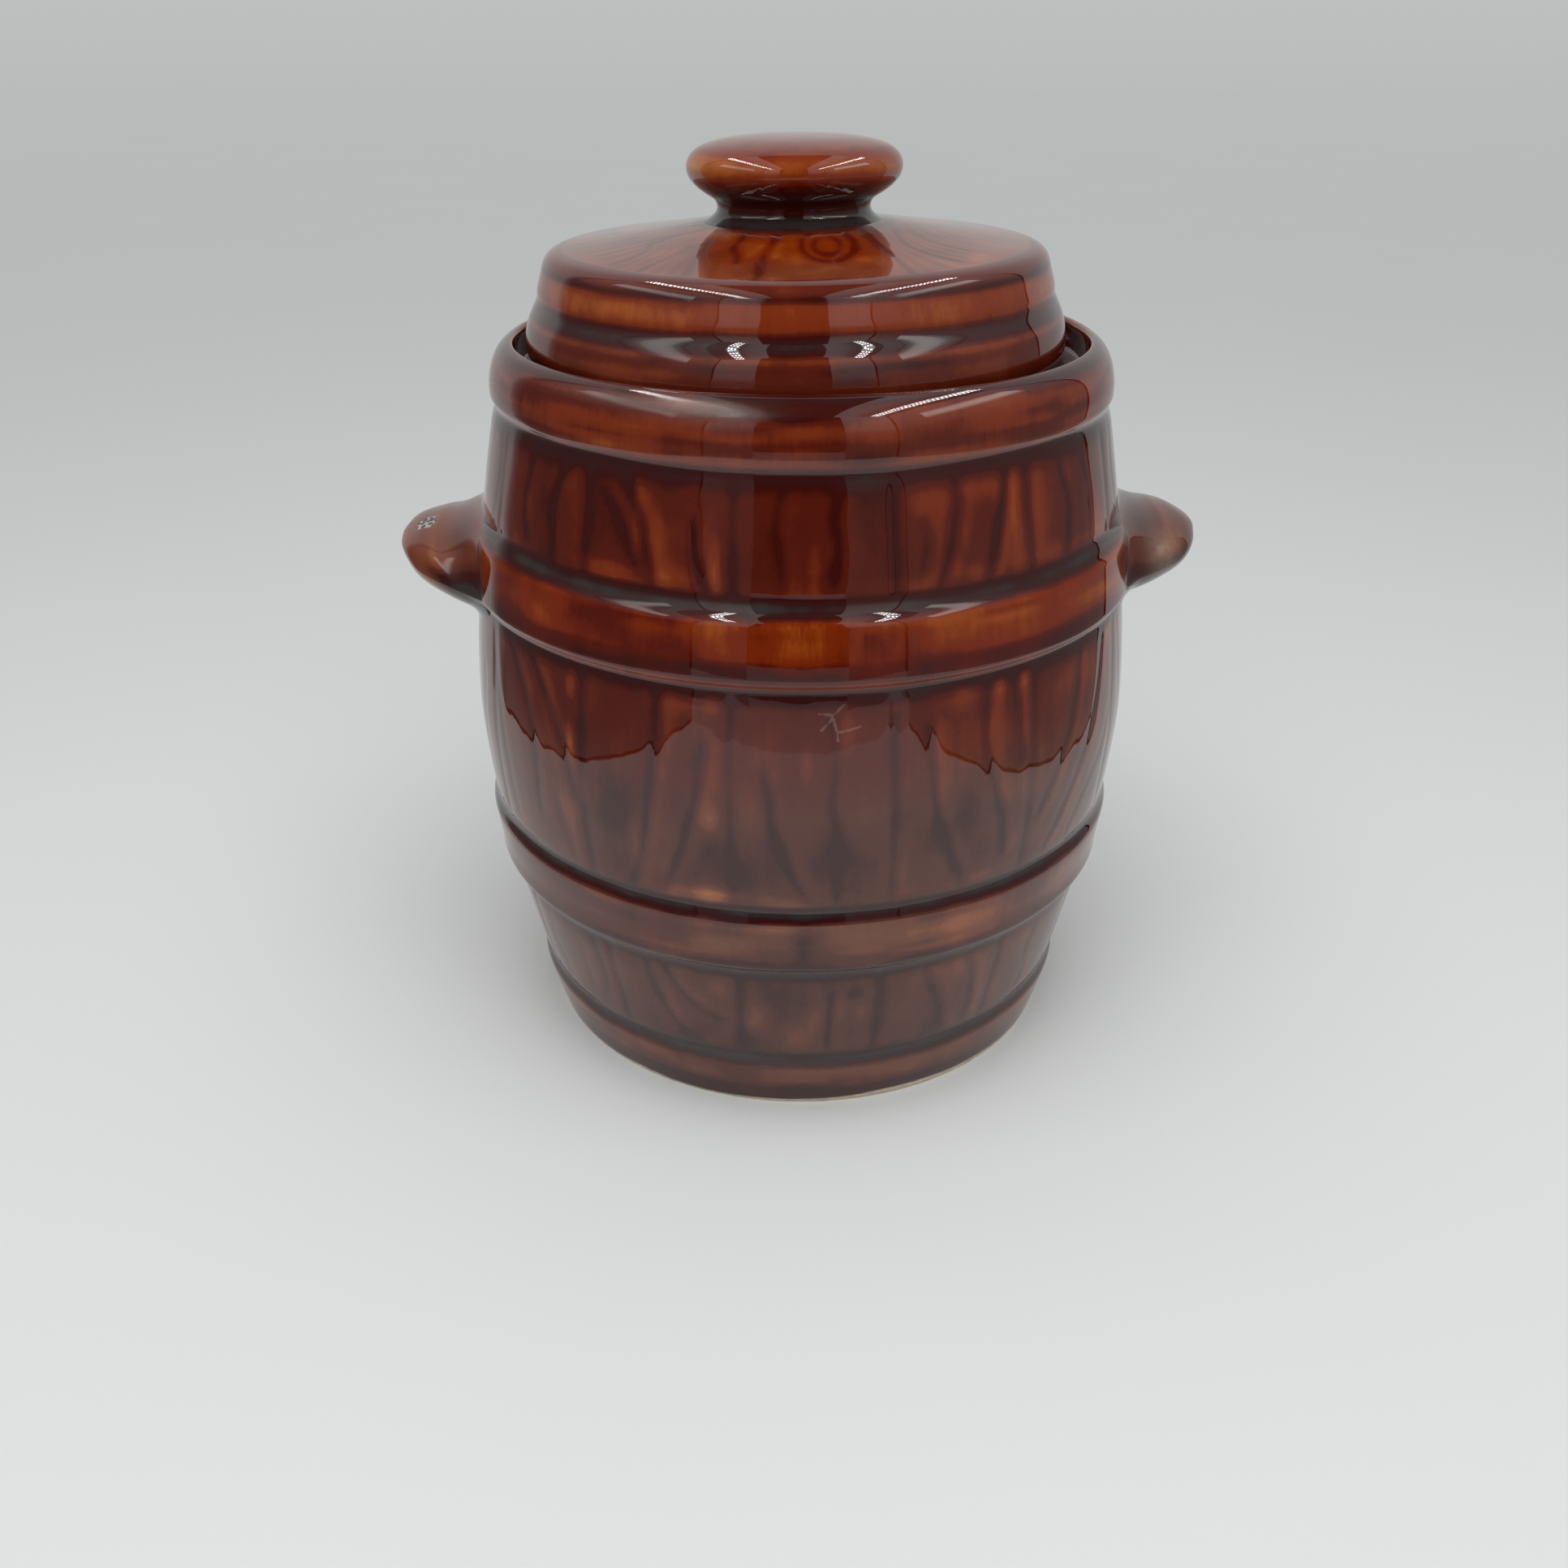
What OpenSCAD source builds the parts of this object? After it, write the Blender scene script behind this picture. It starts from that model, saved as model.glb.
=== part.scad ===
// Lidded stoneware crock in the form of a barrel, with two lug handles.
// Millimetres. +Z is up, the table is z = 0, the axis of the barrel is Z,
// the lugs are at -X and +X, and the front is towards -Y.

/* [Barrel] */
// Height of the rim above the table
crock_h = 203; // [196:1:210]
// Largest radius of the wall, at half height
belly_r = 95; // [92:0.5:98]
// How far the wall draws in between the belly and the foot
foot_draw = 18.5; // [15:0.5:20]
// How far the wall draws in between the belly and the rim
rim_draw = 14.5; // [13:0.5:16]
// Thickness of the wall
wall_t = 8; // [6:0.5:9]
// Thickness of the floor
floor_t = 7; // [6:0.5:10]

/* [Foot] */
// Height of the hollow under the floor
foot_recess = 3; // [2:0.5:4]
// Width of the ring that stands on the table
foot_ring_w = 9; // [6:0.5:12]
// Height of the plain band at the foot
foot_band_h = 15; // [12:0.5:17]
// How far the foot band stands proud of the wall
foot_proud = 1.2; // [0.8:0.1:1.6]

/* [Hoops] */
// Height of the lower edge of the lower hoop
low_hoop_z = 53.5; // [48:0.5:58]
// Height of the lower edge of the upper hoop
high_hoop_z = 136; // [130:0.5:140]
// Width of a hoop
hoop_w = 16.7; // [14:0.1:18]
// How far a hoop stands proud of the wall
hoop_proud = 2; // [1:0.1:2.6]
// Width of the groove beside a hoop or a band
groove_w = 4.6; // [3:0.1:5.5]
// Depth of that groove
groove_d = 1.6; // [0.8:0.1:2.2]

/* [Rim and gallery] */
// Height of the rim band
rim_band_h = 14.6; // [13:0.1:16]
// How far the rim band stands proud of the wall
rim_proud = 1.8; // [1.2:0.1:2.2]
// Radius of the gallery wall, inside the lip
gallery_r = 77.5; // [77:0.1:78.5]
// Depth of the gallery ledge below the rim
gallery_d = 8.5; // [7:0.5:10]
// Radius of the mouth below the ledge
mouth_r = 66; // [65:0.5:68]

/* [Lid] */
// Largest radius of the lid
lid_r = 73.1; // [72:0.1:74.2]
// Radius of the shoulder, where the side turns into the top
shoulder_r = 66.8; // [66:0.1:68]
// Height of the lid from its seat to the knob pad
lid_h = 36.2; // [34:0.1:39]
// Thickness of the lid
lid_t = 6; // [4.5:0.5:7]
// Depth of the locating ring below the seat
ring_d = 10.8; // [6:0.1:14]
// Room between the locating ring and the mouth
ring_gap = 3.5; // [2.6:0.1:4.5]
// Sideways place of the lid in its gallery
lid_shift = -1.6; // [-2:0.1:2]

/* [Knob] */
// Largest radius of the knob
knob_r = 28.2; // [27:0.1:30]
// Radius of the neck
neck_r = 20.1; // [18:0.1:21]
// Height of the knob above its pad
knob_h = 20.5; // [20:0.1:24]
// Sideways place of the knob on the lid
knob_shift = -0.5; // [-1:0.1:1]

/* [Lugs] */
// Distance of a lug's tip from the axis
lug_reach = 114.4; // [110:0.1:118]
// Half the width of a lug at its root
lug_half_w = 29.5; // [24:0.5:33]
// Half the thickness of a lug at its root
lug_half_t = 11; // [8:0.5:13]
// Height of a lug's tip
lug_z = 143.4; // [141:0.2:147]
// How much lower the root of a lug is than its tip
lug_rise = 3.4; // [0:0.2:5]
// How far the left lug is set round towards the back, in degrees
left_lug_turn = -0.6; // [-4:0.2:4]
// How far the right lug is set round towards the back, in degrees
right_lug_turn = 3; // [-4:0.2:4]

/* [Hidden] */
$fn = 128;

glaze_dark = [0.28, 0.07, 0.03];
glaze_amber = [0.44, 0.15, 0.04];

mid_z = crock_h / 2;
rim_band_z = crock_h - rim_band_h;
ledge_z = crock_h - gallery_d;
floor_z = foot_recess + floor_t;
seat_z = ledge_z + 0.3;
pad_z = seat_z + lid_h;
low_top = low_hoop_z + hoop_w;
high_top = high_hoop_z + hoop_w;
foot_r = wall_r(0) + foot_proud * 0.7;
rim_r = wall_r(rim_band_z + 1.8) + rim_proud;
lip_z = crock_h - 10.8;
lip_mid = gallery_r + 0.9;
shelf_z = ledge_z - 18.5;
pad_r = neck_r + 4;

// Radius of the plain barrel wall at height z
function wall_r(z) =
    z < mid_z
    ? belly_r - foot_draw * pow((mid_z - z) / mid_z, 1.6)
    : belly_r - rim_draw * pow((z - mid_z) / (crock_h - mid_z), 1.6);

// Points of the plain wall from z0 to z1
function plain(z0, z1, n) =
    [for (i = [0:n]) let (z = z0 + (z1 - z0) * i / n) [wall_r(z), z]];

// A rounded band that stands proud by p between z0 and z1
function band(z0, z1, p, n = 10) =
    [for (i = [1:n - 1])
        let (t = (1 - cos(180 * i / n)) / 2, z = z0 + (z1 - z0) * t)
        [wall_r(z) + p * pow(sin(180 * t), 0.3), z]];

// A round groove of depth d between z0 and z1
function groove(z0, z1, d, n = 6) =
    [for (i = [1:n - 1])
        let (t = i / n, z = z0 + (z1 - z0) * t)
        [wall_r(z) - d * sin(180 * t), z]];

// Quarter or half of an ellipse about [cr, cz], from angle a0 to a1
function arc(cr, cz, ar, az, a0, a1, n = 6) =
    [for (i = [0:n])
        let (a = a0 + (a1 - a0) * i / n)
        [cr + ar * cos(a), cz + az * sin(a)]];

// Outside of the barrel from the foot ring up to the lip
outside = concat(
    [[foot_r, 0], [wall_r(1.5) + foot_proud * 0.85, 1.5]],
    [for (z = [4:3:foot_band_h - 2.5]) [wall_r(z) + foot_proud, z]],
    [[wall_r(foot_band_h - 0.8) + foot_proud * 0.5, foot_band_h - 0.8]],
    groove(foot_band_h, foot_band_h + groove_w + 0.8, groove_d),
    plain(foot_band_h + groove_w + 0.8, low_hoop_z, 10),
    band(low_hoop_z, low_top, hoop_proud),
    groove(low_top, low_top + groove_w, groove_d),
    plain(low_top + groove_w, high_hoop_z, 20),
    band(high_hoop_z, high_top, hoop_proud),
    groove(high_top, high_top + groove_w, groove_d),
    plain(high_top + groove_w, rim_band_z - groove_w, 8),
    groove(rim_band_z - groove_w, rim_band_z, groove_d),
    [[wall_r(rim_band_z) + rim_proud * 0.5, rim_band_z + 0.3],
     [rim_r, rim_band_z + 1.8]],
    arc(lip_mid, lip_z, rim_r - lip_mid, crock_h - lip_z, 0, 90, 9));

// Inside, from the lip down over the gallery ledge to the floor
inside = concat(
    arc(lip_mid, crock_h - 1.8, lip_mid - gallery_r, 1.8, 105, 180, 4),
    [[gallery_r, ledge_z + 1.5], [gallery_r - 0.5, ledge_z + 0.4],
     [gallery_r - 1.6, ledge_z],
     [mouth_r + 1.5, ledge_z], [mouth_r + 0.5, ledge_z - 0.5],
     [mouth_r, ledge_z - 1.6],
     [mouth_r, ledge_z - 6.5], [mouth_r + 0.6, ledge_z - 8]],
    [for (i = [0:24])
        let (z = shelf_z + (floor_z + 9 - shelf_z) * i / 24)
        [wall_r(z) - wall_t, z]],
    arc(wall_r(floor_z) - wall_t - 8, floor_z + 8, 8, 8, 0, -90),
    [[0, floor_z]]);

// Hollow under the floor and the inner side of the foot ring
underside = [
    [0, foot_recess],
    [foot_r - foot_ring_w - 3, foot_recess],
    [foot_r - foot_ring_w - 1, foot_recess * 0.75],
    [foot_r - foot_ring_w, 0]];

module barrel_solid() {
    rotate_extrude() polygon(concat([[0, 0]], outside, [[0, crock_h]]));
}

module crock_body() {
    color(glaze_dark)
    rotate_extrude() polygon(concat(underside, outside, inside));
}

// One rounded lug towards +X, ended on the barrel's own surface
lug_root = belly_r - 4;
module lug(turn) {
    difference() {
        rotate([0, 0, turn])
        translate([lug_root, 0, lug_z - lug_rise])
        multmatrix([[1, 0, 0, 0], [0, 1, 0, 0],
                    [lug_rise / (lug_reach - lug_root), 0, 1, 0], [0, 0, 0, 1]])
        scale([lug_reach - lug_root, lug_half_w, lug_half_t])
        sphere(1, $fn = 64);
        barrel_solid();
    }
}

module right_lug() {
    color(glaze_dark) lug(right_lug_turn);
}

module left_lug() {
    color(glaze_dark) mirror([1, 0, 0]) lug(left_lug_turn);
}

// Lid: flange on the ledge, waisted side, shallow cone, pad for the knob
lid_shoulder_z = seat_z + 26.8;
lid_wall = [
    [mouth_r - ring_gap, seat_z - ring_d + 1.2],
    [mouth_r - ring_gap, seat_z - 1],
    [mouth_r - ring_gap + 1, seat_z],
    [lid_r - 4.5, seat_z],
    [lid_r - 2, seat_z + 1.2],
    [lid_r - 0.5, seat_z + 3.6],
    [lid_r, seat_z + 6.2],
    [lid_r - 0.4, seat_z + 9],
    [lid_r - 1.2, seat_z + 11.8],
    [lid_r - 2.2, seat_z + 14.2],
    [lid_r - 3.3, seat_z + 15.7],
    [lid_r - 4, seat_z + 17.2],
    [lid_r - 4.1, seat_z + 18.8],
    [shoulder_r + 1.6, seat_z + 21.5],
    [shoulder_r + 0.8, seat_z + 24.6],
    [shoulder_r, lid_shoulder_z],
    [shoulder_r - 1.8, lid_shoulder_z + 1.8],
    [shoulder_r - 3.4, lid_shoulder_z + 2.5],
    [shoulder_r - 5.2, lid_shoulder_z + 2.8]];
lid_top = [[pad_r + 2, pad_z - 0.6], [pad_r + 0.4, pad_z], [0, pad_z]];
ring_in = mouth_r - ring_gap - lid_t;
lid_under = [
    [0, pad_z - lid_t - 1],
    [pad_r, pad_z - lid_t - 1.4],
    [ring_in - 6, lid_shoulder_z - lid_t + 3],
    [ring_in - 2, lid_shoulder_z - lid_t + 0.8],
    [ring_in, lid_shoulder_z - lid_t - 4],
    [ring_in, seat_z - ring_d + 1.2],
    [ring_in + 1.2, seat_z - ring_d],
    [mouth_r - ring_gap - 1.2, seat_z - ring_d]];

module lid() {
    color(glaze_amber)
    translate([lid_shift, 0, 0])
    rotate_extrude() polygon(concat(lid_wall, lid_top, lid_under));
}

// Knob: flared foot on the pad, neck, rounded mushroom head
knob_mid = pad_z + knob_h * 0.61;
knob_top = pad_z + knob_h;
module lid_knob() {
    color(glaze_amber)
    translate([lid_shift + knob_shift, 0, 0])
    rotate_extrude() polygon(concat(
        [[0, pad_z], [pad_r - 0.6, pad_z]],
        arc(neck_r + 3, pad_z + 3.2, 3, 3, 270, 180),
        [[neck_r + 0.4, knob_mid - 8.6], [neck_r + 1.6, knob_mid - 7.6],
         [knob_r - 3.9, knob_mid - 6]],
        arc(knob_r - 4.6, knob_mid, 4.6, 5.6, -60, 0, 5),
        arc(knob_r - 7.5, knob_mid, 7.5, knob_top - knob_mid - 1.2, 15, 80, 6),
        [[knob_r * 0.6, knob_top - 0.6],
         [knob_r * 0.3, knob_top - 0.15],
         [0, knob_top]]));
}

crock_body();
left_lug();
right_lug();
lid();
lid_knob();
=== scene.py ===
import math

import bpy
import mathutils
import numpy as np
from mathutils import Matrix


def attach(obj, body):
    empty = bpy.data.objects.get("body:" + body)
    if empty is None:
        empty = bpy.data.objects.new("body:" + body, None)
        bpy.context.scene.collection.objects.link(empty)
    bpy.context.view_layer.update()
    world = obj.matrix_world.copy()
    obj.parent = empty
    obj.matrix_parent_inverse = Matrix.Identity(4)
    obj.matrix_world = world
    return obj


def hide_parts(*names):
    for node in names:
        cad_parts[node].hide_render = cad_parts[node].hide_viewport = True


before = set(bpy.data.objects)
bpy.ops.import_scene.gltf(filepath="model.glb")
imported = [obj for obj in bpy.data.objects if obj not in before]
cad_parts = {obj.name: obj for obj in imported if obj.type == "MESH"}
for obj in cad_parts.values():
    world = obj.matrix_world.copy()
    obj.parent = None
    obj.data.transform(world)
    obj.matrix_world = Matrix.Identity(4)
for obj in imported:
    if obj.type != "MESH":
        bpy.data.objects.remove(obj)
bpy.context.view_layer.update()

MM = 0.001
TAU = 2.0 * math.pi

# ---------------------------------------------------------------- helpers


def soft(x):
    x = np.clip(x, 0.0, 1.0)
    return x * x * (3.0 - 2.0 * x)


def noise(seed, u, v, nu, nv):
    """Smooth noise in -1..1; u goes once round over 0..1 in nu cells, v runs over 0..1 in nv cells."""
    g = np.random.default_rng(seed).uniform(-1.0, 1.0, (nv + 2, nu))
    x = (u % 1.0) * nu
    y = np.clip(v, 0.0, 1.0) * nv
    i = np.floor(x).astype(int)
    j = np.floor(y).astype(int)
    a, b = soft(x - i), soft(y - j)
    i0, i1 = i % nu, (i + 1) % nu
    return (g[j, i0] * (1 - a) + g[j, i1] * a) * (1 - b) + (
        g[j + 1, i0] * (1 - a) + g[j + 1, i1] * a
    ) * b


def blur_cols(f, sigma):
    """Gaussian blur along the closed ring of columns, sigma in columns."""
    n = f.shape[1]
    k = np.fft.rfftfreq(n)
    return np.fft.irfft(
        np.fft.rfft(f, axis=1) * np.exp(-2.0 * (math.pi * k * sigma) ** 2), n, axis=1
    )


def blur_rows(f, s, sigma):
    """Gaussian blur down the rows, whose places are s, sigma in the same unit."""
    w = np.exp(-0.5 * ((s[:, None] - s[None, :]) / sigma) ** 2)
    step = np.gradient(s)
    w = w * np.abs(step)[None, :]
    w = w / w.sum(1, keepdims=True)
    return w @ f


def corner_cut(p, times=3):
    """Rounds a polyline by cutting its corners; the ends stay."""
    p = np.asarray(p, float)
    for _ in range(times):
        a, b = p[:-1], p[1:]
        q = np.empty((2 * len(a), 2))
        q[0::2] = 0.75 * a + 0.25 * b
        q[1::2] = 0.25 * a + 0.75 * b
        p = np.vstack([p[:1], q, p[-1:]])
    return p


def along(p):
    return np.concatenate([[0.0], np.cumsum(np.hypot(*np.diff(p, axis=0).T))])


def resample(p, step, bend=0.0):
    """Points along p about step apart, closer where the line bends."""
    s = along(p)
    d = np.diff(p, axis=0)
    ang = np.unwrap(np.arctan2(d[:, 1], d[:, 0]))
    mid = 0.5 * (s[1:] + s[:-1])
    turn = np.abs(np.interp(s, mid, np.gradient(ang, mid)))
    dens = 1.0 / step + bend * turn
    m = np.concatenate([[0.0], np.cumsum(0.5 * (dens[1:] + dens[:-1]) * np.diff(s))])
    n = max(2, int(round(m[-1])))
    t = np.interp(np.linspace(0, m[-1], n + 1), m, s)
    return np.stack([np.interp(t, s, p[:, 0]), np.interp(t, s, p[:, 1])], 1)


def ring_mesh(name, pts, s, attrs, poles=(None, None)):
    """A closed skin of rings. pts is rows x columns x 3 in mm; the column seam is at the back.
    poles are the points that close the first and the last ring, or None."""
    nr, nc, _ = pts.shape
    co = [pts.reshape(-1, 3)]
    faces, uvs = [], []
    u = np.arange(nc + 1) / nc
    v = (s - s[0]) / (s[-1] - s[0]) * 0.98 + 0.01
    idx = np.arange(nr * nc).reshape(nr, nc)
    nxt = np.roll(idx, -1, axis=1)
    quads = np.stack([idx[:-1], nxt[:-1], nxt[1:], idx[1:]], -1).reshape(-1, 4)
    ua, ub = np.tile(u[:-1], nr - 1), np.tile(u[1:], nr - 1)
    va, vb = np.repeat(v[:-1], nc), np.repeat(v[1:], nc)
    quv = np.stack(
        [np.stack([ua, va], -1), np.stack([ub, va], -1), np.stack([ub, vb], -1), np.stack([ua, vb], -1)], 1
    )
    faces = quads.tolist()
    loops = [quv.reshape(-1, 2)]
    n = nr * nc
    extra = []
    for end, pole in enumerate(poles):
        if pole is None:
            continue
        co.append(np.asarray(pole, float)[None])
        row = idx[0] if end == 0 else idx[-1]
        other = np.roll(row, -1)
        pv = 0.0 if end == 0 else 1.0
        rv = v[0] if end == 0 else v[-1]
        um = 0.5 * (u[:-1] + u[1:])
        if end == 0:
            faces += [[n, int(b), int(a)] for a, b in zip(row, other)]
            tuv = np.stack(
                [
                    np.stack([um, um * 0 + pv], -1),
                    np.stack([u[1:], um * 0 + rv], -1),
                    np.stack([u[:-1], um * 0 + rv], -1),
                ],
                1,
            )
        else:
            faces += [[n, int(a), int(b)] for a, b in zip(row, other)]
            tuv = np.stack(
                [
                    np.stack([um, um * 0 + pv], -1),
                    np.stack([u[:-1], um * 0 + rv], -1),
                    np.stack([u[1:], um * 0 + rv], -1),
                ],
                1,
            )
        loops.append(tuv.reshape(-1, 2))
        extra.append(end)
        n += 1
    me = bpy.data.meshes.new(name)
    me.from_pydata((np.vstack(co) * MM).tolist(), [], faces)
    uv = me.uv_layers.new(name="OFBake")
    uv.data.foreach_set("uv", np.vstack(loops).astype(np.float32).ravel())
    for key, f in attrs.items():
        vals = [np.asarray(f, float).ravel()]
        for end in extra:
            vals.append([float(np.mean(f[0] if end == 0 else f[-1]))])
        a = me.attributes.new(key, "FLOAT", "POINT")
        a.data.foreach_set("value", np.concatenate(vals).astype(np.float32))
    me.polygons.foreach_set("use_smooth", np.ones(len(me.polygons), dtype=bool))
    me.update()
    ob = bpy.data.objects.new(name, me)
    bpy.context.scene.collection.objects.link(ob)
    return ob


# ---------------------------------------------------------------- barrel profile (mm)

CROCK_H, MID = 203.0, 101.5
BELLY, FOOT_DRAW, RIM_DRAW = 95.0, 18.5, 14.5
RIM_R, LIP_MID, LIP_Z, GALLERY_R = 85.1, 78.4, 190.9, 77.5


def wall_r(z):
    z = np.asarray(z, float)
    lo = BELLY - FOOT_DRAW * (np.clip(MID - z, 0, None) / MID) ** 1.6
    hi = BELLY - RIM_DRAW * (np.clip(z - MID, 0, None) / (CROCK_H - MID)) ** 1.6
    return np.where(z < MID, lo, hi)


# each band: lower edge, bevel height there, upper edge, hollow above it, how far it stands out
HOOPS = ((52.0, 2.8, 69.8, 4.4, 1.95), (135.4, 2.9, 152.5, 4.9, 2.2), (-9.0, 3.0, 15.2, 3.8, 1.65))


def outer_r(z, w=0.0):
    """Radius of the outside with its hoops, bands and rounded lip; w shifts the edges up or down."""
    z = np.asarray(z, float)
    r = wall_r(z)
    y = z + w
    for a, rise, b, hollow, proud in HOOPS:
        half = 0.5 * (b - a)
        up = soft((y - a) / rise)
        down = 0.0
        for d in (-0.9, -0.45, 0.0, 0.45, 0.9):
            down = down + 0.2 * (1.0 - np.clip((y + d - b) / hollow, 0, 1)) ** 2.6
        r = r + proud * up * down * (1 - 0.10 * np.clip((y - a - half) / half, -1, 1) ** 2)
    for zc, wd, dp in ((19.0, 1.6, 0.25), (73.8, 1.4, 0.30), (157.4, 1.6, 0.20), (134.8, 0.9, 0.08), (55.6, 2.6, -0.55), (49.6, 2.0, 0.35), (185.2, 2.0, 0.25)):
        r = r - dp * np.exp(-(((y - zc) / wd) ** 2))
    round_over = LIP_MID + (RIM_R - LIP_MID) * np.sqrt(np.clip(1.0 - (np.clip(z - LIP_Z, 0, None) / (CROCK_H - LIP_Z)) ** 2, 0, None))
    rim = soft((y - 186.2) / 3.2)
    r = r * (1.0 - rim) + round_over * rim
    r = r - 0.30 * np.clip((1.0 - z) / 1.0, 0, 1) ** 2
    return r


# heights of the rows on the outside, closer together at the edges of hoops and grooves
def outer_rows():
    fine = ((0, 3.2, 0.5), (12.8, 20.4, 0.6), (50.0, 56.6, 0.7), (67.4, 75.6, 0.6), (132.8, 139.4, 0.7), (150.2, 158.8, 0.55), (183.2, 190.5, 0.8))
    z, out = 0.0, [0.0]
    while z < LIP_Z:
        step = 1.95
        for a, b, st in fine:
            if a - 0.6 <= z <= b:
                step = st
        z += step
        out.append(z)
    out = [q for q in out if q < LIP_Z - 0.3]
    turn = np.radians(np.linspace(3.0, 87.0, 15))
    return np.array(out + (LIP_Z + (CROCK_H - LIP_Z) * np.sin(turn)).tolist())


def rim_warp(x, y, z):
    """The rim isn't quite level: it falls a little to the back."""
    return (-0.020 * np.clip(y + 78.0, 0.0, 82.0) + 0.001 * x) * soft((z - 186.0) / 10.0)


# ---------------------------------------------------------------- staves and grain

# angles are in degrees from the front, positive towards +X
FRONT_JOINTS = [-36.9, -11.1, 14.0, 39.0]
JOINTS = np.array(FRONT_JOINTS + [39.0 + (323.1 - 39.0) / 11.0 * k for k in range(1, 11)])

# grain grooves of the front staves, each a run of (height, angle); then depth and darkness
GRAIN_UP = [
    ([(184, -41.2), (178, -44.0), (172, -45.4), (163, -44.4), (158, -44.2)], 0.40, 0.9),
    ([(183, -52.0), (172, -53.5), (160, -52.0)], 0.35, 0.7),
    ([(183, -29.6), (177, -27.8), (171, -26.0), (164, -24.8), (158, -24.2)], 0.50, 1.0),
    ([(180, -34.4), (174, -31.0), (167, -28.6), (161, -26.6)], 0.30, 0.8),
    ([(176, -17.6), (167, -17.0), (161, -15.6), (158, -14.4)], 0.45, 1.1),
    ([(183, -3.4), (174, -4.6), (165, -3.2), (158, -3.6)], 0.28, 0.5),
    ([(183, 5.6), (176, 4.6), (170, 5.4), (160, 4.2)], 0.32, 0.7),
    ([(176, 18.6), (169, 19.4), (161, 18.2)], 0.25, 0.5),
    ([(184, 24.2), (178, 25.0), (171, 24.2), (163, 22.4), (158, 21.2)], 0.45, 0.9),
    ([(184, 34.2), (177, 33.8), (169, 32.3), (162, 30.9), (158, 30.2)], 0.50, 1.1),
    ([(182, 47.6), (172, 49.6), (162, 48.8), (158, 48.0)], 0.38, 0.8),
    ([(182, 55.0), (170, 57.0), (159, 56.0)], 0.35, 0.7),
]
GRAIN_MID = [
    ([(134, -55.6), (130, -54.2), (124.6, -52.0), (117, -49.6), (109, -48.0), (96, -47.8), (86, -48.4)], 0.55, 0.9),
    ([(134, -49.4), (131, -48.3), (124.6, -45.4), (117, -42.7), (110, -40.4), (103, -39.2), (96, -38.5)], 0.60, 1.0),
    ([(96, -43.5), (86, -42.0), (76, -40.4)], 0.30, 0.6),
    ([(134, -22.5), (130, -22.7), (117, -23.3), (109, -23.8), (101.5, -24.6), (92, -25.4), (80, -27.3), (74, -28.8)], 0.45, 1.0),
    ([(122, -15.2), (117, -15.6), (109, -16.2), (98.5, -17.7), (90.8, -19.2), (83.8, -20.8), (74.6, -22.7)], 0.50, 1.0),
    ([(116, -6.2), (109, -5.5), (100, -4.7), (93.8, -3.8), (86, -1.9), (81.5, -0.5), (76, 1.0)], 0.48, 1.0),
    ([(130, 4.2), (118, 4.8), (104, 4.6), (94, 5.4), (84, 5.0), (76, 5.8)], 0.30, 0.7),
    ([(126, 19.2), (117, 19.6), (109, 20.1), (97, 21.5), (90, 22.7), (83, 25.0), (74, 28.0)], 0.50, 1.0),
    ([(134, 29.7), (124.6, 29.2), (117, 28.8), (107.7, 30.3), (100, 31.8), (92, 33.0), (82, 34.6)], 0.48, 0.9),
    ([(134, 34.5), (124.6, 35.0), (117, 35.8), (108, 36.6)], 0.35, 0.8),
    ([(134, 51.0), (120.8, 50.0), (109, 47.3), (103, 45.4), (93.8, 42.7), (87.7, 40.6)], 0.60, 0.9),
    ([(134, 60.0), (128.5, 58.8), (113, 56.5), (97.7, 51.9), (84.6, 47.3), (76, 43.6)], 0.70, 0.9),
    ([(110, 63.5), (97.7, 61.0), (90, 56.5), (80, 52.0), (74, 50.6)], 0.55, 0.8),
    ([(128, -62.0), (112, -60.0), (96, -58.0), (80, -57.2)], 0.45, 0.8),
]
GRAIN_LOW = [
    ([(50, -28.8), (46, -28.4), (37.5, -27.6), (28, -25.0), (23, -21.9), (20, -19.6)], 0.50, 0.9),
    ([(50, -25.2), (47, -24.6), (41, -22.7), (36, -19.6), (32, -15.8), (30.5, -12.4)], 0.45, 0.9),
    ([(50, -41.4), (46, -41.0), (41, -40.1), (34, -40.0), (28, -41.2), (24, -44.2)], 0.45, 0.8),
    ([(47, -46.6), (43, -45.6), (36, -46.4), (27, -45.0), (22, -47.5)], 0.35, 0.6),
    ([(45, 5.4), (38, 5.0), (30, 5.2), (22, 5.0)], 0.50, 1.1),
    ([(49, 22.2), (43, 24.0), (37, 25.8), (31, 27.3), (22, 28.6), (20, 30.2)], 0.50, 0.9),
    ([(49, 31.2), (40, 33.4), (31, 34.2), (22, 33.9), (20, 35.4)], 0.48, 0.9),
    ([(48, 50.0), (38, 48.0), (30, 50.5), (22, 49.0)], 0.40, 0.7),
    ([(48, -55.0), (38, -57.0), (28, -54.0), (21, -56.0)], 0.40, 0.7),
    ([(42, 8.0), (44.5, 9.6), (45.2, 10.6)], 0.35, 0.6),
]
ZONES = (("low", 20.4, 51.5), ("mid", 75.2, 133.8), ("up", 157.8, 183.6))


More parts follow.
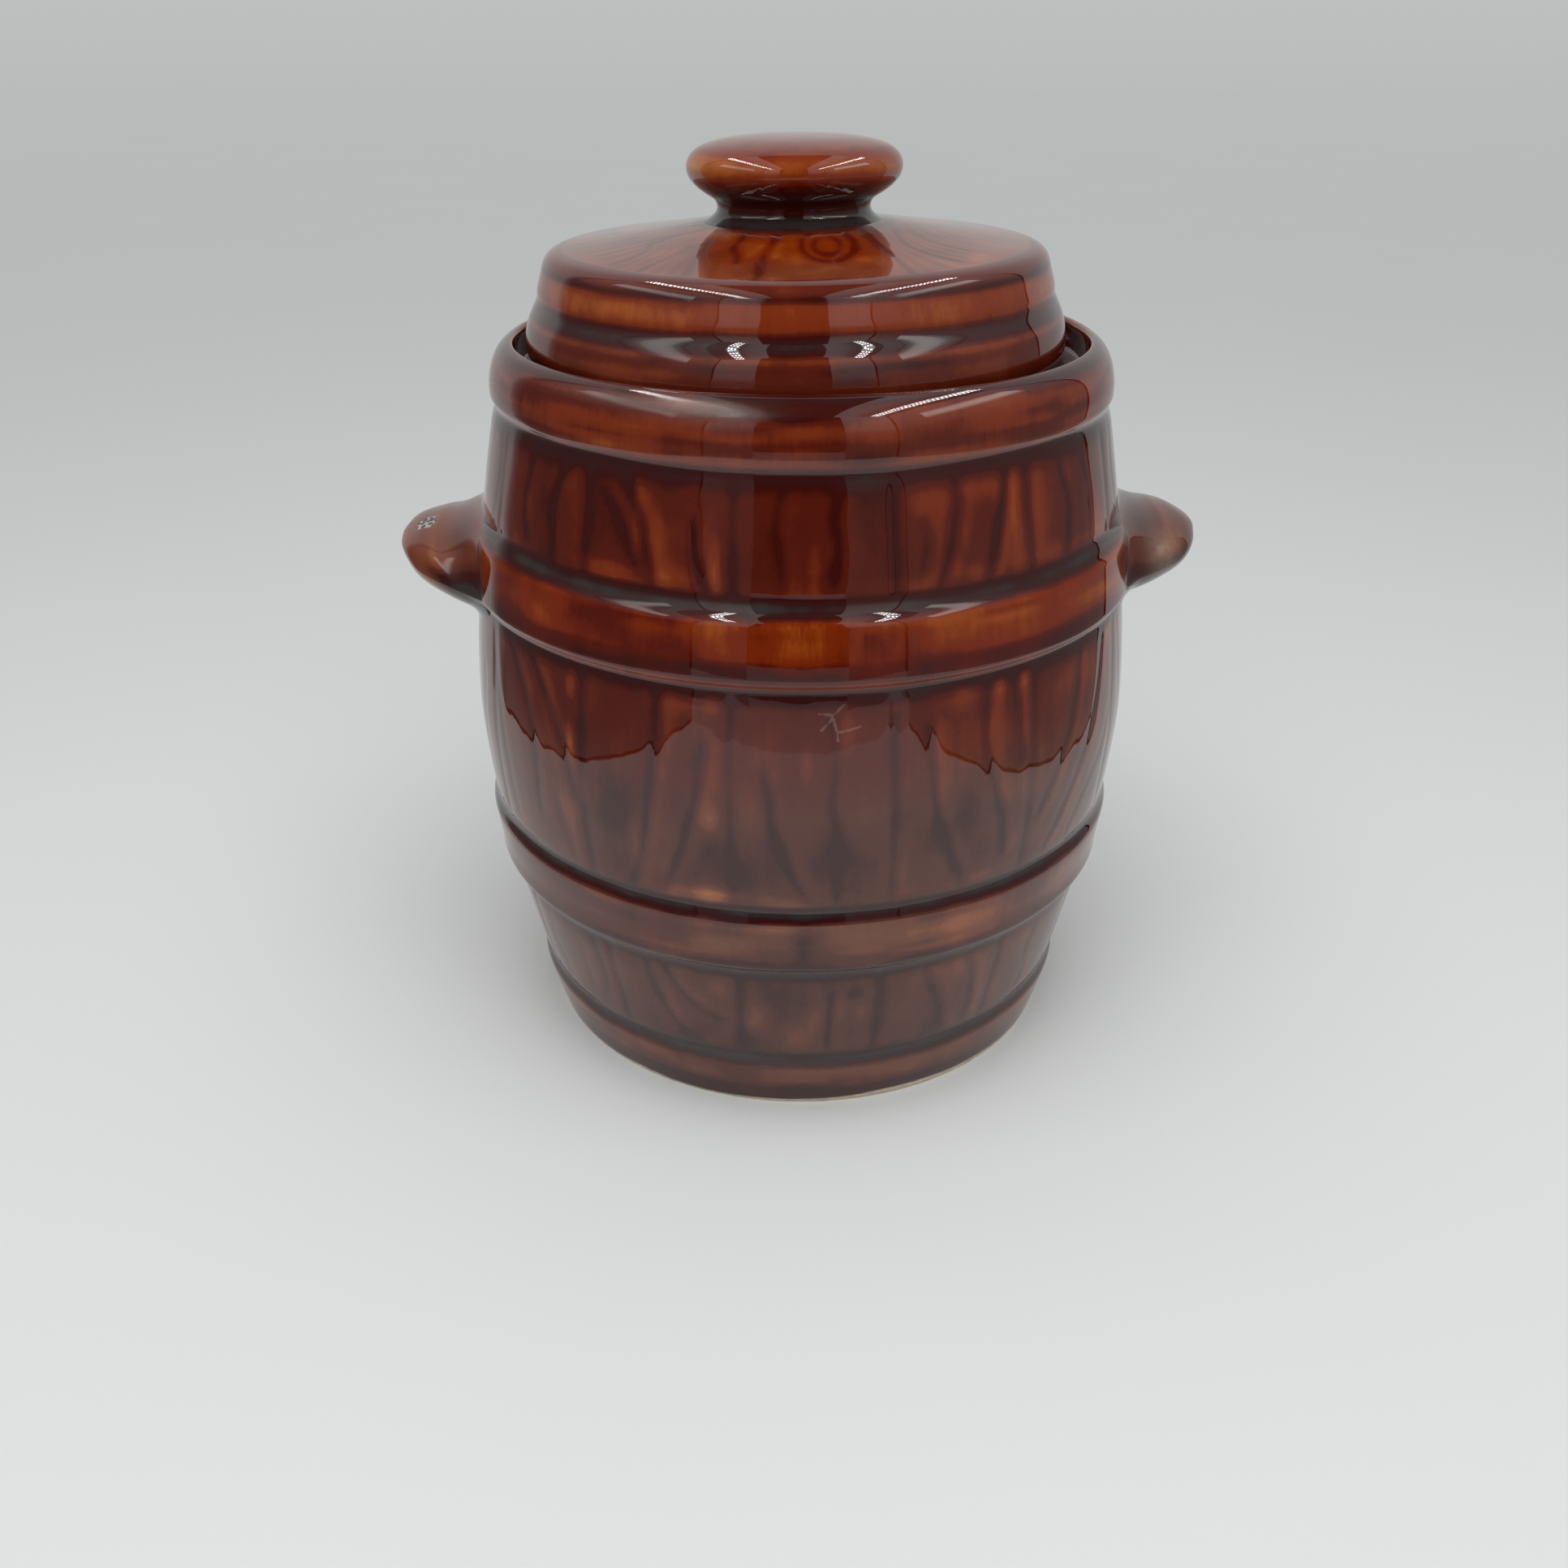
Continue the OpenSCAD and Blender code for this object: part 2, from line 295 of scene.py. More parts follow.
def back_grain(seed):
    """Grain of the staves that the front list doesn't reach, drawn at random in the same manner."""
    rng = np.random.default_rng(seed)
    lines = {"low": [], "mid": [], "up": []}
    js = np.sort((JOINTS + 360.0) % 360.0)
    js = np.concatenate([js, js[:1] + 360.0])
    for a, b in zip(js[:-1], js[1:]):
        for name, z0, z1 in ZONES:
            n = int(rng.integers(2, 4))
            base = a + (b - a) * (np.arange(n) + 0.5 + rng.uniform(-0.22, 0.22, n)) / n
            lean = rng.uniform(-1, 1) * (6.0 if name == "mid" else 3.0)
            bow = rng.uniform(-1, 1) * 3.2
            for c in base:
                if min(abs(c - 0), abs(c - 360)) < 63:
                    continue
                t = np.linspace(0, 1, 7)
                top = z1 if rng.random() < 0.6 else z1 - rng.uniform(0.1, 0.35) * (z1 - z0)
                bot = z0 if rng.random() < 0.6 else z0 + rng.uniform(0.1, 0.35) * (z1 - z0)
                zz = top + (bot - top) * t
                ph = c + lean * (t - 0.5) + bow * (4 * t * (1 - t) - 0.6) * 0.6 + rng.normal(0, 0.25, 7)
                ph = np.clip(ph, a + 2.0, b - 2.0)
                lines[name].append(
                    (list(zip(zz.tolist(), ph.tolist())), float(rng.uniform(0.35, 0.6)), float(rng.uniform(0.7, 1.0)))
                )
    return lines


def turned(d):
    """An angle difference in degrees, brought to -180..180."""
    return (d + 180.0) % 360.0 - 180.0


def grain_field(PHD, Z, R, lines, seed):
    """Depth (mm, positive into the wall) and darkness of grain grooves on the grid."""
    depth = np.zeros_like(PHD)
    dark = np.zeros_like(PHD)
    zr = Z[:, 0]
    for k, (pts, dp, dk) in enumerate(lines):
        p = np.array(sorted(pts))
        zf = np.linspace(p[0, 0], p[-1, 0], 60)
        pf = np.interp(zf, p[:, 0], p[:, 1])
        ker = np.exp(-0.5 * (np.arange(-8, 9) / 3.5) ** 2)
        ker /= ker.sum()
        pf = np.convolve(np.pad(pf, 8, mode="edge"), ker, "valid")
        pf = pf + 0.22 * noise(seed + k, zf * 0, (zf - zf[0]) / 70.0, 1, 9)
        rows = np.where((zr > zf[0] - 2.0) & (zr < zf[-1] + 2.0))[0]
        if len(rows) == 0:
            continue
        z = Z[rows]
        ph = np.interp(zr[rows], zf, pf)[:, None]
        slope = np.interp(zr[rows], zf, np.gradient(pf, zf))[:, None]
        r = R[rows]
        mmdeg = r * math.pi / 180.0
        d = turned(PHD[rows] - ph) * mmdeg / np.sqrt(1.0 + (slope * mmdeg) ** 2)
        ends = soft((z - zf[0] + 1.5) / 4.0) * soft((zf[-1] + 1.5 - z) / 4.0)
        width = 1.0 + 0.35 * noise(seed + 500 + k, z * 0, z / 210.0, 1, 26)
        g = np.exp(-0.5 * (d / width) ** 2) - 0.35 * np.exp(-0.5 * ((d - 2.6) / 1.5) ** 2)
        depth[rows] += dp * ends * g
        dark[rows] += dk * ends * (np.exp(-0.5 * (d / (1.15 * width)) ** 2) - 0.40 * np.exp(-0.5 * ((d - 3.0) / 1.5) ** 2))
    return depth, dark


def blobs(PHD, Z, items):
    """Sum of soft patches, each (angle, height, half-width in degrees, half-height in mm, amount)."""
    f = np.zeros_like(PHD)
    for a, z, ra, rz, amt in items:
        f += amt * np.exp(-((turned(PHD - a) / ra) ** 2) - ((Z - z) / rz) ** 2)
    return f


# thinner glaze (negative) and pooled glaze (positive) on the front
PATCHES = [
    (-33.0, 160.4, 5.0, 2.6, -0.24), (-21.0, 161.0, 3.4, 3.6, -0.26), (-13.8, 163.0, 1.0, 7.0, -0.30),
    (45.0, 160.2, 5.5, 2.4, -0.20), (-40.0, 171.0, 2.2, 12.0, -0.18), (29.5, 181.0, 4.5, 3.0, -0.17),
    (20.5, 178.5, 3.6, 5.0, -0.15), (36.0, 172.0, 1.2, 12.0, -0.22), (41.2, 172.0, 1.5, 12.0, -0.20),
    (1.5, 165.0, 1.0, 7.0, -0.16), (-27.0, 176.0, 1.0, 8.0, -0.16), (-23.0, 168.0, 1.4, 8.0, -0.16),
    (27.5, 161.0, 3.0, 3.0, -0.14), (-50.0, 170.0, 3.5, 12.0, 0.12), (10.0, 172.0, 3.0, 12.0, 0.08),
    (-31.0, 170.0, 2.2, 7.0, 0.14), (52.0, 172.0, 3.0, 12.0, 0.06), (-6.0, 173.0, 3.0, 12.0, 0.07),
    (-18.5, 131.0, 3.0, 3.0, -0.20), (-14.0, 131.5, 1.6, 2.6, -0.22), (-15.0, 76.6, 3.4, 3.6, -0.34),
    (-21.5, 75.6, 2.2, 3.0, -0.26), (-4.5, 75.2, 5.0, 2.4, -0.18), (-14.0, 100.5, 1.1, 4.0, -0.26),
    (-39.3, 113.0, 0.8, 4.5, -0.30), (-39.3, 128.0, 0.9, 3.0, -0.24), (25.0, 131.5, 5.5, 3.0, -0.17),
    (36.8, 131.5, 1.0, 3.0, -0.26), (31.8, 131.0, 1.4, 3.2, -0.22), (50.0, 128.5, 5.0, 4.0, -0.14),
    (14.0, 131.0, 1.4, 2.0, -0.26), (-44.0, 120.0, 1.6, 9.0, -0.10), (0.5, 116.0, 1.2, 5.0, -0.12),
    (-27.0, 88.0, 1.2, 8.0, -0.16), (-22.0, 82.0, 1.2, 7.0, -0.16), (24.0, 80.0, 4.0, 8.0, -0.06),
    (-30.0, 101.0, 3.5, 8.0, 0.14), (-15.0, 90.0, 2.4, 6.0, 0.10), (-4.0, 94.0, 2.6, 7.0, 0.10),
    (5.6, 91.0, 2.6, 7.0, 0.14), (26.0, 95.0, 5.0, 6.0, 0.12), (-31.0, 82.0, 3.0, 6.0, 0.10),
    (8.0, 79.0, 4.0, 4.0, 0.10), (17.0, 101.0, 2.5, 7.0, 0.05), (2.0, 124.0, 11.0, 8.0, -0.10),
    (-14.5, 77.2, 5.0, 2.0, -0.30), (-5.5, 78.4, 2.5, 2.5, -0.16), (-1.5, 75.8, 3.5, 1.5, -0.14), (30.0, 77.0, 5.0, 2.0, -0.12),
    (2.0, 96.0, 15.0, 11.0, 0.05), (21.5, 91.0, 4.5, 9.0, 0.10), (-31.0, 95.0, 4.5, 9.0, 0.08), (33.0, 92.0, 4.0, 10.0, 0.06), (-10.0, 84.0, 3.0, 6.0, 0.08),
    (6.0, 88.0, 5.0, 9.0, 0.10), (-8.0, 106.0, 3.0, 7.0, -0.07), (12.0, 112.0, 4.0, 6.0, -0.06),
    (-19.0, 106.0, 2.6, 6.0, 0.08), (27.0, 106.0, 3.0, 7.0, 0.07),
    (-15.2, 44.5, 2.4, 4.8, -0.22), (21.5, 46.0, 6.0, 3.4, -0.18), (31.0, 45.0, 3.0, 3.4, -0.16),
    (-8.0, 35.0, 2.2, 5.5, -0.20), (-1.0, 26.0, 3.4, 5.5, -0.20), (2.6, 34.0, 1.2, 6.0, -0.14),
    (11.0, 35.0, 1.6, 5.0, -0.18), (35.5, 40.0, 1.6, 5.0, -0.12), (-4.0, 41.0, 4.0, 5.0, 0.14),
    (-3.0, 34.5, 2.2, 3.0, 0.10), (-10.0, 24.5, 3.0, 3.5, 0.12), (9.8, 43.0, 2.0, 2.4, 0.16),
    (-18.0, 28.0, 3.0, 4.0, 0.10), (-24.0, 22.0, 6.0, 2.4, 0.10),
    (-12.0, 60.5, 9.0, 3.0, -0.14), (-5.0, 68.5, 4.5, 1.4, -0.22), (22.0, 63.5, 16.0, 4.2, -0.13),
    (0.6, 64.0, 2.2, 4.6, 0.26), (-30.0, 66.4, 7.0, 2.0, 0.12), (-13.0, 66.2, 4.5, 1.5, 0.14),
    (25.0, 68.4, 5.0, 1.2, 0.10), (-33.0, 62.0, 12.0, 5.0, 0.10),
    (-12.5, 149.0, 3.6, 4.0, -0.20), (0.0, 148.8, 7.0, 4.2, -0.15), (26.0, 147.0, 18.0, 5.0, -0.08),
    (-45.5, 150.3, 2.6, 0.9, 0.22), (-36.0, 149.8, 2.0, 0.8, 0.12), (-25.0, 150.9, 6.0, 0.9, 0.20),
    (-20.0, 150.6, 1.6, 1.4, 0.14), (-45.0, 146.0, 5.0, 3.0, -0.10), (6.5, 151.4, 3.0, 0.8, 0.14),
    (-8.5, 151.6, 1.0, 1.2, 0.12), (38.0, 151.0, 4.0, 0.8, 0.10),
    (-29.0, 195.4, 11.0, 1.5, -0.15), (-27.0, 200.0, 14.0, 1.5, 0.26), (-12.0, 199.6, 7.0, 1.5, 0.24), (-24.0, 201.4, 20.0, 1.6, -0.22),
    (1.0, 199.2, 8.0, 2.0, 0.36), (3.0, 195.4, 9.0, 1.4, 0.02), (1.0, 192.6, 8.0, 1.5, 0.17), (34.0, 198.6, 12.0, 2.6, -0.10), (36.0, 192.8, 12.0, 1.2, 0.10),
    (-34.0, 190.6, 8.0, 1.4, -0.20), (-36.0, 193.0, 8.0, 1.0, 0.08), (-18.0, 192.6, 5.0, 1.2, 0.12),
    (12.0, 196.0, 4.0, 2.0, -0.06), (-2.0, 198.6, 3.0, 0.9, 0.20),
    (16.0, 12.0, 15.0, 2.6, -0.16), (-25.0, 11.5, 16.0, 2.4, -0.06), (0.0, 7.0, 9.0, 2.0, 0.10),
]


def random_patches(seed):
    """Patches of the same kind for the sides and the back."""
    rng = np.random.default_rng(seed)
    out = []
    for _ in range(190):
        a = rng.uniform(58.0, 302.0)
        kind = rng.integers(0, 6)
        if kind == 0:
            out.append((a, rng.uniform(158.5, 163.5), rng.uniform(2.0, 7.0), rng.uniform(2.4, 5.0), -rng.uniform(0.08, 0.20)))
        elif kind == 1:
            out.append((a, rng.uniform(75, 81), rng.uniform(1.8, 6.0), rng.uniform(2.4, 5.0), -rng.uniform(0.08, 0.20)))
        elif kind == 2:
            out.append((a, rng.uniform(128, 133), rng.uniform(1.2, 5.0), rng.uniform(2.0, 4.0), -rng.uniform(0.10, 0.26)))
        elif kind == 3:
            out.append((a, rng.uniform(24, 182), rng.uniform(1.0, 4.0), rng.uniform(4.0, 12.0), rng.uniform(-0.16, 0.14)))
        elif kind == 4:
            out.append((a, rng.choice([145.5, 62.0]) + rng.uniform(-3, 5), rng.uniform(3.0, 12.0), rng.uniform(0.9, 3.0), rng.uniform(-0.16, 0.22)))
        else:
            out.append((a, rng.choice([194.0, 10.0, 47.0]) + rng.uniform(-3, 4), rng.uniform(3.0, 12.0), rng.uniform(1.2, 3.0), rng.uniform(-0.18, 0.16)))
    return out


# ---------------------------------------------------------------- lugs: shape shared with the barrel

# side, reach, half width, half thickness, root height, tip height, turn towards the back in degrees
LUGS = {
    "left_lug": (-1, 114.3, 30.0, 11.4, 139.1, 144.0, -0.6),
    "right_lug": (1, 114.3, 28.8, 10.9, 140.9, 145.0, 3.0),
}
LUG_X0 = 91.0


def lug_shade(PHD, Z):
    """1 on the part of the barrel that a lug's root covers, falling to 0 around it."""
    f = np.zeros_like(PHD)
    for side, reach, hw, ht, z0, z1, turn in LUGS.values():
        a = side * (90.0 + turn)
        d = np.hypot(turned(PHD - a) * 1.62 / (hw + 5.0), (Z - z0 - 1.5) / (ht + 7.0))
        f = np.maximum(f, soft((1.35 - d) / 0.35))
    return f


# ---------------------------------------------------------------- crock body

SEG = 600


def build_crock():
    z_out = outer_rows()
    n_out = len(z_out)
    phi = -math.pi + TAU * np.arange(SEG) / SEG
    phd = np.degrees(phi)
    U = (phd / 360.0)[None, :]
    PHD, Z = np.meshgrid(phd, z_out)
    Un = PHD / 360.0
    V = Z / 203.0

    # hand-thrown unevenness of the hoop edges, and of the whole round
    w = 0.30 * noise(3, Un, V, 9, 3) + 0.14 * noise(4, Un, V, 31, 5)
    R = outer_r(Z, w) + 0.16 * noise(5, Un, V, 7, 4) - 0.08

    # staves: joints, crowns and small steps
    zone = np.zeros_like(Z)
    for _, a, b in ZONES:
        zone += soft((Z + w - a + 0.9) / 2.2) * soft((b + 0.9 - Z - w) / 2.2)
    js = np.sort(JOINTS)
    joint_d = np.full_like(Z, 1e9)
    crown = np.zeros_like(Z)
    step = np.zeros_like(Z)
    rng = np.random.default_rng(21)
    offs = rng.uniform(-0.025, 0.025, len(js))
    tint = rng.uniform(-0.035, 0.035, len(js))
    tint_f = np.zeros_like(Z)
    for k, j in enumerate(js):
        jw = j + 0.30 * noise(40 + k, Un * 0, V, 1, 14)
        d = turned(PHD - jw) * wall_r(Z) * math.pi / 180.0
        joint_d = np.where(np.abs(d) < np.abs(joint_d), d, joint_d)
        nxt = js[(k + 1) % len(js)]
        span = (nxt - j) % 360.0
        t = (PHD - j) % 360.0 / span
        inside = t <= 1.0
        s = 2.0 * t - 1.0
        crown = np.where(inside, 0.05 * (1.0 - s * s), crown)
        step = np.where(inside, offs[k], step)
        tint_f = np.where(inside, tint[k], tint_f)
    step = blur_cols(step, 1.2)
    tint_f = blur_cols(tint_f, 2.0)
    joint = np.exp(-0.5 * (joint_d / 1.15) ** 2)

    back = back_grain(77)
    depth = np.zeros_like(Z)
    dark = np.zeros_like(Z)
    for name, front in (("up", GRAIN_UP), ("mid", GRAIN_MID), ("low", GRAIN_LOW)):
        zsel = next(q for q in ZONES if q[0] == name)
        m = soft((Z - zsel[1] + 2.0) / 2.5) * soft((zsel[2] + 2.0 - Z) / 2.5)
        d1, k1 = grain_field(PHD, Z, R, front + back[name], 900 + 100 * len(name))
        depth += d1 * m
        dark += k1 * m
    rootmask = 1.0 - lug_shade(PHD, Z)
    fine = 0.012 * noise(61, Un, V, 220, 10) + 0.020 * noise(62, Un, V, 110, 16)
    relief = zone * (crown - 0.04 + step + fine - 0.13 * joint - 0.18 * depth)
    relief *= rootmask
    R = R + relief

    # glaze thickness: what the relief does, then zones, patches and runs
    cols_mm = TAU * 92.0 / SEG
    hb = blur_rows(blur_cols(R, 2.4 / cols_mm), z_out, 2.4)
    conv = np.clip(R - hb, -1.2, 0.7)
    thick_and_shade = np.full_like(Z, 0.52)
    hoop2 = soft((Z + w - 135.6) / 3.0) * soft((154.2 - Z - w) / 1.8)
    hoop1 = soft((Z + w - 52.8) / 3.0) * soft((71.2 - Z - w) / 1.6)
    rim = soft((Z + w - 187.8) / 1.5)
    foot = soft((16.2 - Z - w) / 1.5)
    thick_and_shade += hoop2 * (-0.13 + 0.30 * soft((144.6 - Z) / 5.0)) - 0.32 * np.exp(-(((Z + w - 136.5) / 1.2) ** 2))
    thick_and_shade += hoop1 * (-0.06 + 0.24 * soft((59.5 - Z) / 4.5))
    thick_and_shade += rim * (-0.03 - 0.24 * soft((Z - 201.6) / 1.2))
    thick_and_shade += foot * (-0.08 + 0.22 * soft((8.5 - Z) / 3.0))
    thick_and_shade -= 0.17 * np.clip(conv, 0, None) * (1.0 - 0.95 * soft((80.0 - Z) / 6.0)) + 0.34 * np.clip(conv, None, 0)
    thick_and_shade += zone * (0.12 * joint + (0.19 - 0.05 * soft((125.0 - Z) / 8.0)) * np.clip(dark, -0.5, 1.2)) * rootmask
    for zc, wd, amt in ((17.4, 2.1, 0.32), (189.6, 1.6, 0.07), (72.0, 2.1, 0.33), (155.4, 2.2, 0.26), (184.2, 2.6, 0.20), (133.6, 1.6, 0.20), (51.4, 1.6, 0.18)):
        thick_and_shade += amt * np.exp(-(((Z + w - zc) / wd) ** 2))
    thick_and_shade -= 0.16 * np.exp(-(((Z + w - 188.0) / 1.3) ** 2))
    front = [(a, z, ra, rz, amt * (0.6 if z < 52.0 and amt < 0 else 0.95 if 76.0 < z < 126.0 and amt > 0 else 0.66 if 157.0 < z < 184.0 else 0.85)) for a, z, ra, rz, amt in PATCHES]
    thick_and_shade += blobs(PHD, Z, front + random_patches(5))
    thick_and_shade += tint_f * zone
    thick_and_shade += 0.060 * noise(71, Un, V, 26, 12) + 0.045 * noise(72, Un, V, 70, 26) + 0.03 * noise(73, Un, V, 160, 12)
    smear = np.clip(noise(96, Un, V, 34, 90), -0.7, 1.0)
    thick_and_shade += (0.10 * hoop2 + 0.10 * hoop1 + 0.11 * rim + 0.07 * foot) * (smear - 0.10)
    thick_and_shade -= 0.12 * np.exp(-(((Z + w - 159.8) / 1.4) ** 2)) * np.clip(0.6 + 1.2 * noise(97, Un, V * 0, 60, 1), 0, 1.5)
    thick_and_shade -= np.clip(thick_and_shade - 0.66, 0, None) * 0.5 * soft((Z - 77.0) / 3.0) * soft((131.0 - Z) / 3.0)
    lug_dim = lug_shade(PHD, Z)
    thick_and_shade = thick_and_shade * (1.0 - lug_dim) + 0.47 * lug_dim
    middle = 0.30 + 0.60 * np.exp(-(((PHD + 3.0) / 15.0) ** 4)) + 0.30 * np.exp(-(((np.abs(PHD) - 150.0) / 25.0) ** 2))
    streak = np.clip(hoop2 * soft((Z - 141.0) / 4.0) * middle + 0.4 * rim + 0.25 * zone + 0.25 * hoop1, 0, 1)
    brown = np.maximum(0.25 + 0.75 * soft((120.0 - Z) / 20.0), 0.8 * lug_dim) * (1.0 - hoop2 * (1.0 - lug_dim))
    brown = np.clip(brown * (0.80 + 0.34 * noise(91, Un, V, 11, 9) + 0.20 * noise(92, Un, V, 30, 16)), 0, 1)
    bare_and_shine = soft((1.30 + 0.95 * np.exp(-(((PHD - 24.0) / 24.0) ** 2)) + 0.35 * noise(81, Un, V * 0, 40, 1) - Z) / 0.5)
    # Two soft patches on the rim's top left are mixed towards the pale clay colour: a painted highlight for the
    # whitish, blurred lamp glow there; the matt patches make the same places rougher
    bare_and_shine += blobs(PHD, Z, [(-16.0, 200.2, 8.0, 1.6, 0.12), (-29.0, 200.6, 11.0, 1.3, 0.07)])
    matt = blobs(PHD, Z, [(-28.0, 200.2, 11.0, 1.5, 0.8), (-16.0, 200.0, 7.0, 1.6, 1.0), (-6.0, 199.0, 5.0, 1.2, 0.6), (150.0, 198.0, 14.0, 1.5, 0.6)])
    matt += (0.50 - 0.30 * np.exp(-((PHD / 28.0) ** 2))) * np.exp(-(((Z - 187.2) / 1.6) ** 2))

    rows = [(R[i], z_out[i], thick_and_shade[i], bare_and_shine[i], streak[i], matt[i], brown[i]) for i in range(n_out)]

    # lip, gallery, inside and underside, without relief
    inner = []
    for a in np.radians([98, 120, 145, 172]):
        inner.append((LIP_MID + (LIP_MID - GALLERY_R) * math.cos(a), CROCK_H - 1.8 + 1.8 * math.sin(a), 0))
    for r, z in (
        (77.5, 199.6), (77.5, 198.0), (77.5, 196.4), (77.2, 195.3), (76.3, 194.7), (75.0, 194.5), (72.0, 194.5), (69.2, 194.5),
        (67.2, 194.4), (66.3, 193.9), (66.0, 192.8), (66.0, 190.0), (66.1, 188.0), (66.6, 186.6), (68.6, 184.4), (72.0, 181.2), (75.2, 178.4),
    ):
        inner.append((r, z, 1))
    for z in np.linspace(174.5, 20.5, 20):
        inner.append((float(wall_r(z)) - 8.0, z, 2))
    cr, cz = float(wall_r(10.0)) - 16.0, 18.0
    for a in np.radians([-4, -22, -42, -62, -80]):
        inner.append((cr + 8.0 * math.cos(a), cz + 8.0 * math.sin(a), 2))
    for r in (56.0, 42.0, 26.0, 10.0):
        inner.append((r, 10.0, 2))
    lead = []
    for r, z in ((8.0, 3.0), (30.0, 3.0), (50.0, 3.0), (62.0, 3.0), (65.4, 2.9), (67.0, 2.3), (68.0, 0.9), (68.5, 0.15), (70.0, 0.0), (73.0, 0.0)):
        lead.append((r, z, 3))

    Ring = Un[:1]
    pts, s_at, T, B, S, M, W = [], [], [], [], [], [], []
    one = np.ones(SEG)

    def add(r, z, t, b, s, m=0.0, bw=0.3):
        x, y = r * np.sin(phi), -r * np.cos(phi)
        pts.append(np.stack([x, y, z + rim_warp(x, y, z * one)], -1))
        s_at.append((float(np.mean(r)), float(np.mean(z))))
        T.append(t * one)
        B.append(b * one)
        S.append(s * one)
        M.append(m * one)
        W.append(bw * one)

    for k, (r, z, kind) in enumerate(lead):
        b = 1.0 if r > 66.0 else 0.0
        add(r * one, z, 0.55 + 0.05 * noise(90 + k, Ring, Ring * 0, 30, 1)[0], b, 0.0)
    for r, z, t, b, s, m, bw in rows:
        add(r, z, t, b, s, m, bw)
    for k, (r, z, kind) in enumerate(inner):
        n1 = 0.05 * noise(120 + k // 3, Ring, Ring * 0, 36, 1)[0]
        if kind == 0:
            add(r * one, z, 0.26 + 0.16 * (CROCK_H - z) + n1, 0.0, 0.3)
        elif kind == 1:
            add(r * one, z, 0.62 + n1, 0.0, 0.0)
        else:
            add(r * one, z, 0.58 + n1 + 0.08 * math.sin(z * 0.11), 0.0, 0.0)
    pts = np.array(pts)
    s = along(np.array(s_at))
    ob = ring_mesh(
        "crock",
        pts,
        s,
        {"thick_and_shade": np.array(T), "bare_and_shine": np.array(B), "streak": np.array(S), "matt": np.array(M), "brown": np.array(W)},
        poles=((0, 0, 3.0), (0, 0, 10.0)),
    )
    return ob


# ---------------------------------------------------------------- lugs


